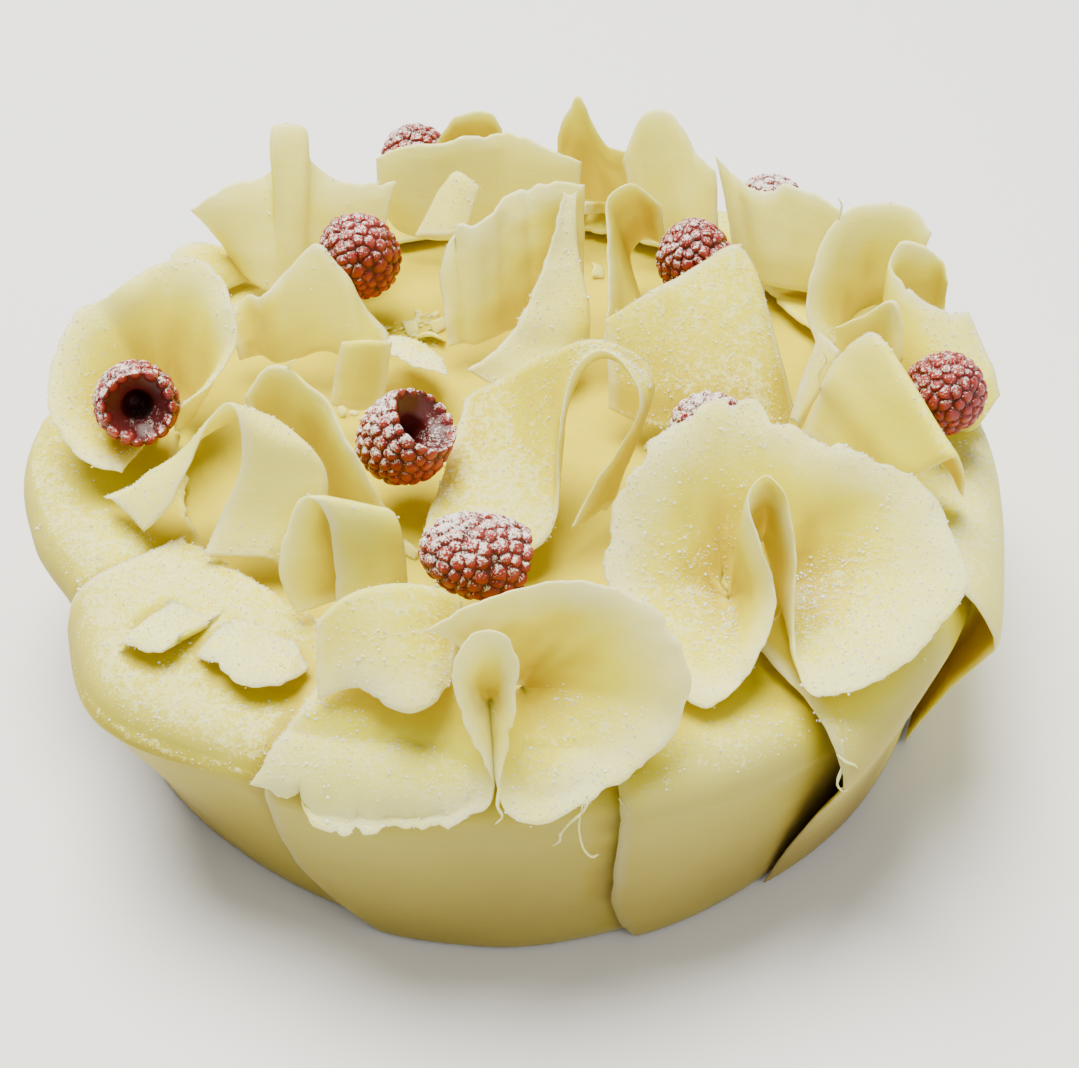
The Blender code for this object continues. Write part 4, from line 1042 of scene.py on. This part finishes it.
def berry_piece(name, centre, direction, width, length, material, seed):
    """Raspberry: rounded drupelets in rings round a hollow, a little uneven."""
    rng = np.random.default_rng(seed)
    half_width = width / 2.0
    half_length = length / 2.0 / 0.81
    centres = drupelet_centres(half_width, half_length)
    centres += rng.normal(0, 0.42, centres.shape)
    size = rng.uniform(0.78, 1.18, len(centres))

    # The outline's rings: outer skin, lip, wall of the hollow and its bottom
    outer_r, outer_z = berry_outline(np.linspace(0.0, 1.0, 100), half_width, half_length)
    over = np.linspace(0.08, 1.0, 12)
    down = np.linspace(0.08, 1.0, 16)
    pit = np.linspace(0.2, 0.98, 6) * math.pi / 2
    inner = 0.36 * half_width
    mouth = 0.5 * half_length
    ring_r = np.concatenate([outer_r, inner + (outer_r[-1] - inner) * np.cos(over * math.pi / 2),
                             inner * (1.0 - 0.38 * down), inner * 0.62 * np.cos(pit)])
    lip_z = outer_z[-1] + (mouth - outer_z[-1]) * over + 0.10 * half_length * np.sin(over * math.pi)
    ring_z = np.concatenate([outer_z, lip_z, (0.5 - 0.75 * down) * half_length,
                             (-0.25 - 0.13 * np.sin(pit)) * half_length])
    rings = len(ring_r)
    skin = np.concatenate([np.ones(100), np.linspace(1.0, 0.5, 12), np.full(rings - 112, 0.4)])
    outside = np.tile(np.arange(rings) < 104, BERRY_AROUND)

    turn = (np.arange(BERRY_AROUND) * 2 * math.pi / BERRY_AROUND)[:, None]

    def turned(across, up):
        """Values of the outline swept round the berry's axis."""
        swept = np.broadcast_arrays(across * np.cos(turn), across * np.sin(turn), up)
        return np.stack(swept, 2).reshape(-1, 3)

    flat = turned(ring_r, ring_z)
    distance = np.linalg.norm(flat[:, None, :] - centres[None, :, :], axis=2) / size
    first, second = np.sort(distance, axis=1)[:, :2].T
    bulge = np.sqrt(np.clip(1.0 - (first / (DRUPELET * 0.66)) ** 2, 0.0, 1.0))
    bulge = bulge * (0.35 + 0.65 * smoothstep(0.0, 0.9, second - first))
    normal_r = np.gradient(ring_z)
    normal_z = -np.gradient(ring_r)
    long = np.hypot(normal_r, normal_z) + 1e-9
    skin = np.tile(skin, BERRY_AROUND)
    flat = flat + turned(normal_r / long, normal_z / long) * ((bulge - 0.65) * 0.95 * skin)[:, None]
    dents = np.stack([layered_noise(flat, 7.0, 900 + seed + axis, 2) for axis in range(3)], 1)
    flat = flat + 0.45 * dents
    verts = np.concatenate([flat, [[0, 0, ring_z[0] - 0.2]], [[0, 0, ring_z[-1]]]])
    aim = np.array(Vector(direction).normalized().to_track_quat("Z", "Y").to_matrix())
    placed = verts @ aim.T + np.array(centre, float)
    mesh = solid_mesh("look_" + name, placed, *round_faces(BERRY_AROUND, rings))
    side = point_data(mesh, "normal") @ np.array([-0.35, 0.15, 0.92])
    # Painted shade in the pits and the hollow, carried by the bulge attribute
    shade = np.append(bulge * np.maximum(skin, 0.45), [0.5, 0.2])
    outside = np.append(outside, [1, 0])
    dust = smoothstep(-0.1, 0.85, side) * (0.55 + 0.45 * shade) * outside
    dust = dust + 0.25 * smoothstep(0.3, 0.9, side) * (1.0 - outside)
    set_values(mesh, bulge=shade, dust=dust * DUSTED.get(name, 0.9))
    finish_piece("look_" + name, mesh, material, name)


# Loose bits

def icosahedron():
    golden = (1 + math.sqrt(5)) / 2
    points = np.array([corner for a in (-1, 1) for b in (-golden, golden)
                       for corner in ((a, b, 0), (0, a, b), (b, 0, a))])
    points /= np.linalg.norm(points[0])
    near = np.linalg.norm(points[:, None] - points[None], axis=2) < 1.2
    faces = []
    for i, j, k in itertools.combinations(range(len(points)), 3):
        if near[i, j] and near[j, k] and near[i, k]:
            outward = np.cross(points[j] - points[i], points[k] - points[i]) @ points[i] > 0
            faces.append((i, j, k) if outward else (i, k, j))
    return points, np.array(faces)


def octahedron():
    points = np.array([(1, 0, 0), (-1, 0, 0), (0, 1, 0), (0, -1, 0), (0, 0, 1), (0, 0, -1)], float)
    faces = np.array([(0, 2, 4), (2, 1, 4), (1, 3, 4), (3, 0, 4),
                      (2, 0, 5), (1, 2, 5), (3, 1, 5), (0, 3, 5)])
    return points, faces


def grain_piece(name, spots, sizes, material, seed, flat, body):
    """Many small grains as one mesh; flat squeezes them from above."""
    rng = np.random.default_rng(seed)
    points, faces = body
    count = len(spots)
    stretch = rng.uniform(0.6, 1.4, (count, 1, 3))
    stretch[:, :, 2] *= flat
    jitter = rng.uniform(0.75, 1.25, (count, len(points), 1))
    local = points[None] * stretch * jitter * sizes[:, None, None]
    turn = rng.uniform(0, 2 * math.pi, (count, 1))
    across = local[:, :, 0] * np.cos(turn) - local[:, :, 1] * np.sin(turn)
    along = local[:, :, 0] * np.sin(turn) + local[:, :, 1] * np.cos(turn)
    verts = spots[:, None, :] + np.stack([across, along, local[:, :, 2]], 2)
    index = faces[None] + (np.arange(count) * len(points))[:, None, None]
    mesh = mesh_from(name, verts.reshape(-1, 3), index.reshape(-1, 3))
    return finish_piece(name, mesh, material, None, smooth=False)


def thread_piece(name, path, material):
    """A fine curled shaving as a tapered tube."""
    fine = catmull(path, np.linspace(0, len(path) - 1, 8 * len(path)))
    along = unit(np.gradient(fine, axis=0))
    side = unit(np.cross(along, (0.3, 0.2, 0.93)))
    up = np.cross(side, along)
    taper = np.sin(np.linspace(0.12, 0.97, len(fine)) * math.pi) ** 0.5 * THREAD_RADIUS
    angle = (2 * math.pi * np.arange(THREAD_SIDES) / THREAD_SIDES)[:, None, None]
    points = fine + taper[:, None] * (side * np.cos(angle) + 0.55 * up * np.sin(angle))
    index = np.arange(THREAD_SIDES * len(fine)).reshape(THREAD_SIDES, len(fine))
    mesh = solid_mesh(name, points.reshape(-1, 3), quad_grid(THREAD_SIDES, len(fine), True),
                      index[None, ::-1, 0], index[None, :, -1])
    # Open and rim set the shaving's painted shade and a painted highlight over all of it
    set_values(mesh, open=0.95, dust=0.4, rim=0.8)
    finish_piece(name, mesh, material, None)


def shard_surface(x, y, ground, wide, rng):
    """A small torn flake that stands at a slant in the cake's top."""
    across = np.linspace(-1.0, 1.0, 12)[:, None] * np.ones((1, 10))
    along = np.linspace(-1.0, 1.0, 10)[None, :]
    long = wide * rng.uniform(0.5, 0.8)
    taper = 1.0 - 0.45 * (across * 0.5 + 0.5) * rng.uniform(0.4, 1.0)
    local = np.stack([across * wide * 0.5, along * long * 0.5 * taper, 0.16 * wide * (1 - across ** 2)], 2)
    local[:, :, :2] += 0.30 * layered_noise(local + x, 2.2, 710, 2)[:, :, None]
    heading = rng.uniform(0, 2 * math.pi)
    tilt = rng.uniform(-0.9, 0.9)
    bent = Vector((math.cos(heading), math.sin(heading), 0))
    lean = bent.rotation_difference(Vector((1, 0, 0))).to_matrix().inverted()
    lean = lean @ Euler((tilt, 0, 0)).to_matrix()
    return local @ np.array(lean).T + (x, y, ground + 0.35 * abs(math.sin(tilt)) * long)


# Build: surfaces of the sheets

stations = {name: np.array(rows, float) for name, rows in RUFFLES.items()}
for name, first, last, centre, share in GATHERS:
    roots = stations[name][first:last + 1, 3:]
    roots += (np.array(centre) - roots) * share

grids = {}
for number, (name, values) in enumerate(PANELS.items()):
    grids[name] = panel_surface(name, values, 100 + number)
for number, (name, rows) in enumerate(stations.items()):
    spacing = FINE_SPACING if name in FINE else SPACING
    grids[name] = ruffle_surface(name, rows, 200 + number, spacing, FLARE.get(name, PLAIN_FLARE))
for number, (name, leaf) in enumerate(REAR_LEAVES.items()):
    grids[name] = ruffle_surface(name, rear_leaf_stations(*leaf), 300 + number)

# One ray tree of every sheet and berry, at reduced detail
tree_points = []
tree_faces = []
coarse = [grid[thin_out(grid.shape, *SHEET_STEPS)] for grid in grids.values()]
ball, ball_faces = icosahedron()
balls = [ball * (width + length) / 4 + centre for centre, _, width, length in BERRIES.values()]
for points, faces in ([(grid, quad_grid(*grid.shape[:2])) for grid in coarse]
                      + [(points, ball_faces) for points in balls]):
    tree_faces += (faces + len(tree_points)).tolist()
    tree_points += points.reshape(-1, 3).tolist()
tree = BVHTree.FromPolygons(tree_points, tree_faces)

# Build: sheets, cake and berries
chocolate = chocolate_material()
dusted = []
for name, grid in grids.items():
    full = PANEL_THICK if name in PANELS else RUFFLE_THICK
    dusted.append(sheet_piece(name, grid, full, chocolate, tree))
core, core_dust = core_piece(chocolate, tree)
dusted.append((core, core_dust))

berry_skin = berry_material()
for number, (name, berry) in enumerate(BERRIES.items()):
    berry_piece(name, *berry, berry_skin, 40 + number)

# Sugar grains lie where sugar settles
rng = np.random.default_rng(11)
spots = np.concatenate([point_data(piece.data, "co") / MM + 0.12 * point_data(piece.data, "normal")
                        for piece, _ in dusted])
facings = np.concatenate([point_data(piece.data, "normal") for piece, _ in dusted])
weights = np.concatenate([settled for _, settled in dusted]) ** 2 * (facings[:, 2] > 0.45)
clump = 0.5 + 0.5 * layered_noise(spots, 9.0, 77, 3)
weights = weights * np.clip(clump, 0, 1) ** 4
chosen = rng.choice(len(spots), SUGAR_GRAINS, p=weights / weights.sum(), replace=False)
sizes = 0.11 + 0.26 * rng.random(SUGAR_GRAINS) ** 6
drift = rng.uniform(-0.55, 0.55, (SUGAR_GRAINS, 3))
facing = facings[chosen]
drift -= facing * (drift * facing).sum(1, keepdims=True)
grain_piece("sugar_grains", spots[chosen] + drift, sizes, sugar_material(), 12, 1.0, octahedron())

# Chocolate crumbs lie on the cake's top where the sheets were pressed in
DOWN = Vector((0, 0, -1))
core_tree = BVHTree.FromPolygons([tuple(v.co / MM) for v in core.data.vertices],
                                 [tuple(face.vertices) for face in core.data.polygons])
crumb_spots = []
for x, y in CRUMB_PLACES:
    for _ in range(CRUMBS_EACH):
        dx, dy = rng.normal(0, CRUMB_SPREAD, 2)
        start = Vector((x + dx, y + dy, SKY))
        ground = core_tree.ray_cast(start, DOWN)[0]
        cover = tree.ray_cast(start, DOWN)[0]
        if ground is not None and (cover is None or cover.z < ground.z + 0.5):
            crumb_spots.append((ground.x, ground.y, ground.z + 0.25))
crumb_sizes = 0.35 + 1.1 * rng.random(len(crumb_spots)) ** 3
crumbs = grain_piece("chocolate_crumbs", np.array(crumb_spots), crumb_sizes, chocolate, 13, 0.5,
                     (ball, ball_faces))
# Open and rim set the crumbs' painted shade and painted highlight
set_values(crumbs.data, open=0.9, dust=0.3, rim=0.5)

# Broken shards of the sheets stick in the cake's top
shard_points = []
shard_faces = []
for x, y, wide in SHARD_PLACES:
    ground = core_tree.ray_cast(Vector((x, y, SKY)), DOWN)[0]
    if ground is not None:
        local = shard_surface(x, y, ground.z, wide, rng)
        points, faces = shell(local, thickness_map(local, SHARD_THICK)[0])
        shard_faces.append(faces + sum(len(part) for part in shard_points))
        shard_points.append(points)
shards = solid_mesh("chocolate_shards", np.concatenate(shard_points), *shard_faces)
# Open and rim set the shards' painted shade and painted highlight
set_values(shards, open=0.88, dust=0.35, rim=0.4)
finish_piece("chocolate_shards", shards, chocolate, None)

# Curled shavings hang from the torn edges, each from the nearest point of its sheet
for name, (host, path) in SHAVINGS.items():
    sheet = grids[host]
    path = np.array(path, float)
    border = np.concatenate([sheet[0], sheet[-1], sheet[:, 0]])
    nearest = border[np.argmin(np.linalg.norm(border - path[0], axis=1))]
    thread_piece(name, path + (nearest - path[0]) * 0.96, chocolate)

# Stage: floor, lights, world and camera
floor_mesh = mesh_from("floor", [(-FLOOR, -FLOOR, 0), (FLOOR, -FLOOR, 0), (FLOOR, FLOOR, 0),
                                 (-FLOOR, FLOOR, 0)], np.array([(0, 1, 2, 3)]))
floor = add_object("floor", floor_mesh)
floor_mesh.materials.append(Graph("pale_floor").finish((0.86, 0.86, 0.87, 1.0), 0.9, {}))


def area_light(name, place, target, size, power, colour):
    light = bpy.data.lights.new(name, "AREA")
    light.shape = "DISK"
    light.size = size
    light.energy = power
    light.color = colour
    item = add_object(name, light)
    item.location = place
    item.rotation_mode = "QUATERNION"
    item.rotation_quaternion = (Vector(target) - Vector(place)).to_track_quat("-Z", "Y")


area_light("key", (-0.20, 0.30, 1.25), (0, 0, 0.05), 0.9, 51.0, (1.0, 0.975, 0.87))
area_light("fill", (0.95, -0.75, 0.42), (0.03, -0.03, 0.04), 1.2, 7.5, (1.0, 0.98, 0.90))

world = bpy.data.worlds.new("studio")
bpy.context.scene.world = world
world.use_nodes = True
background = world.node_tree.nodes["Background"].inputs
background["Color"].default_value = (1.0, 1.0, 1.0, 1.0)
background["Strength"].default_value = 0.4

camera_data = bpy.data.cameras.new("camera")
camera_data.sensor_width = 36.0
camera_data.sensor_fit = "HORIZONTAL"
camera_data.lens = CAMERA_LENS
camera_data.clip_start = 0.01
camera = add_object("camera", camera_data)
camera.location = CAMERA_PLACE
camera.rotation_euler = (CAMERA_PITCH, 0.0, 0.0)
bpy.context.scene.camera = camera

bpy.context.view_layer.update()
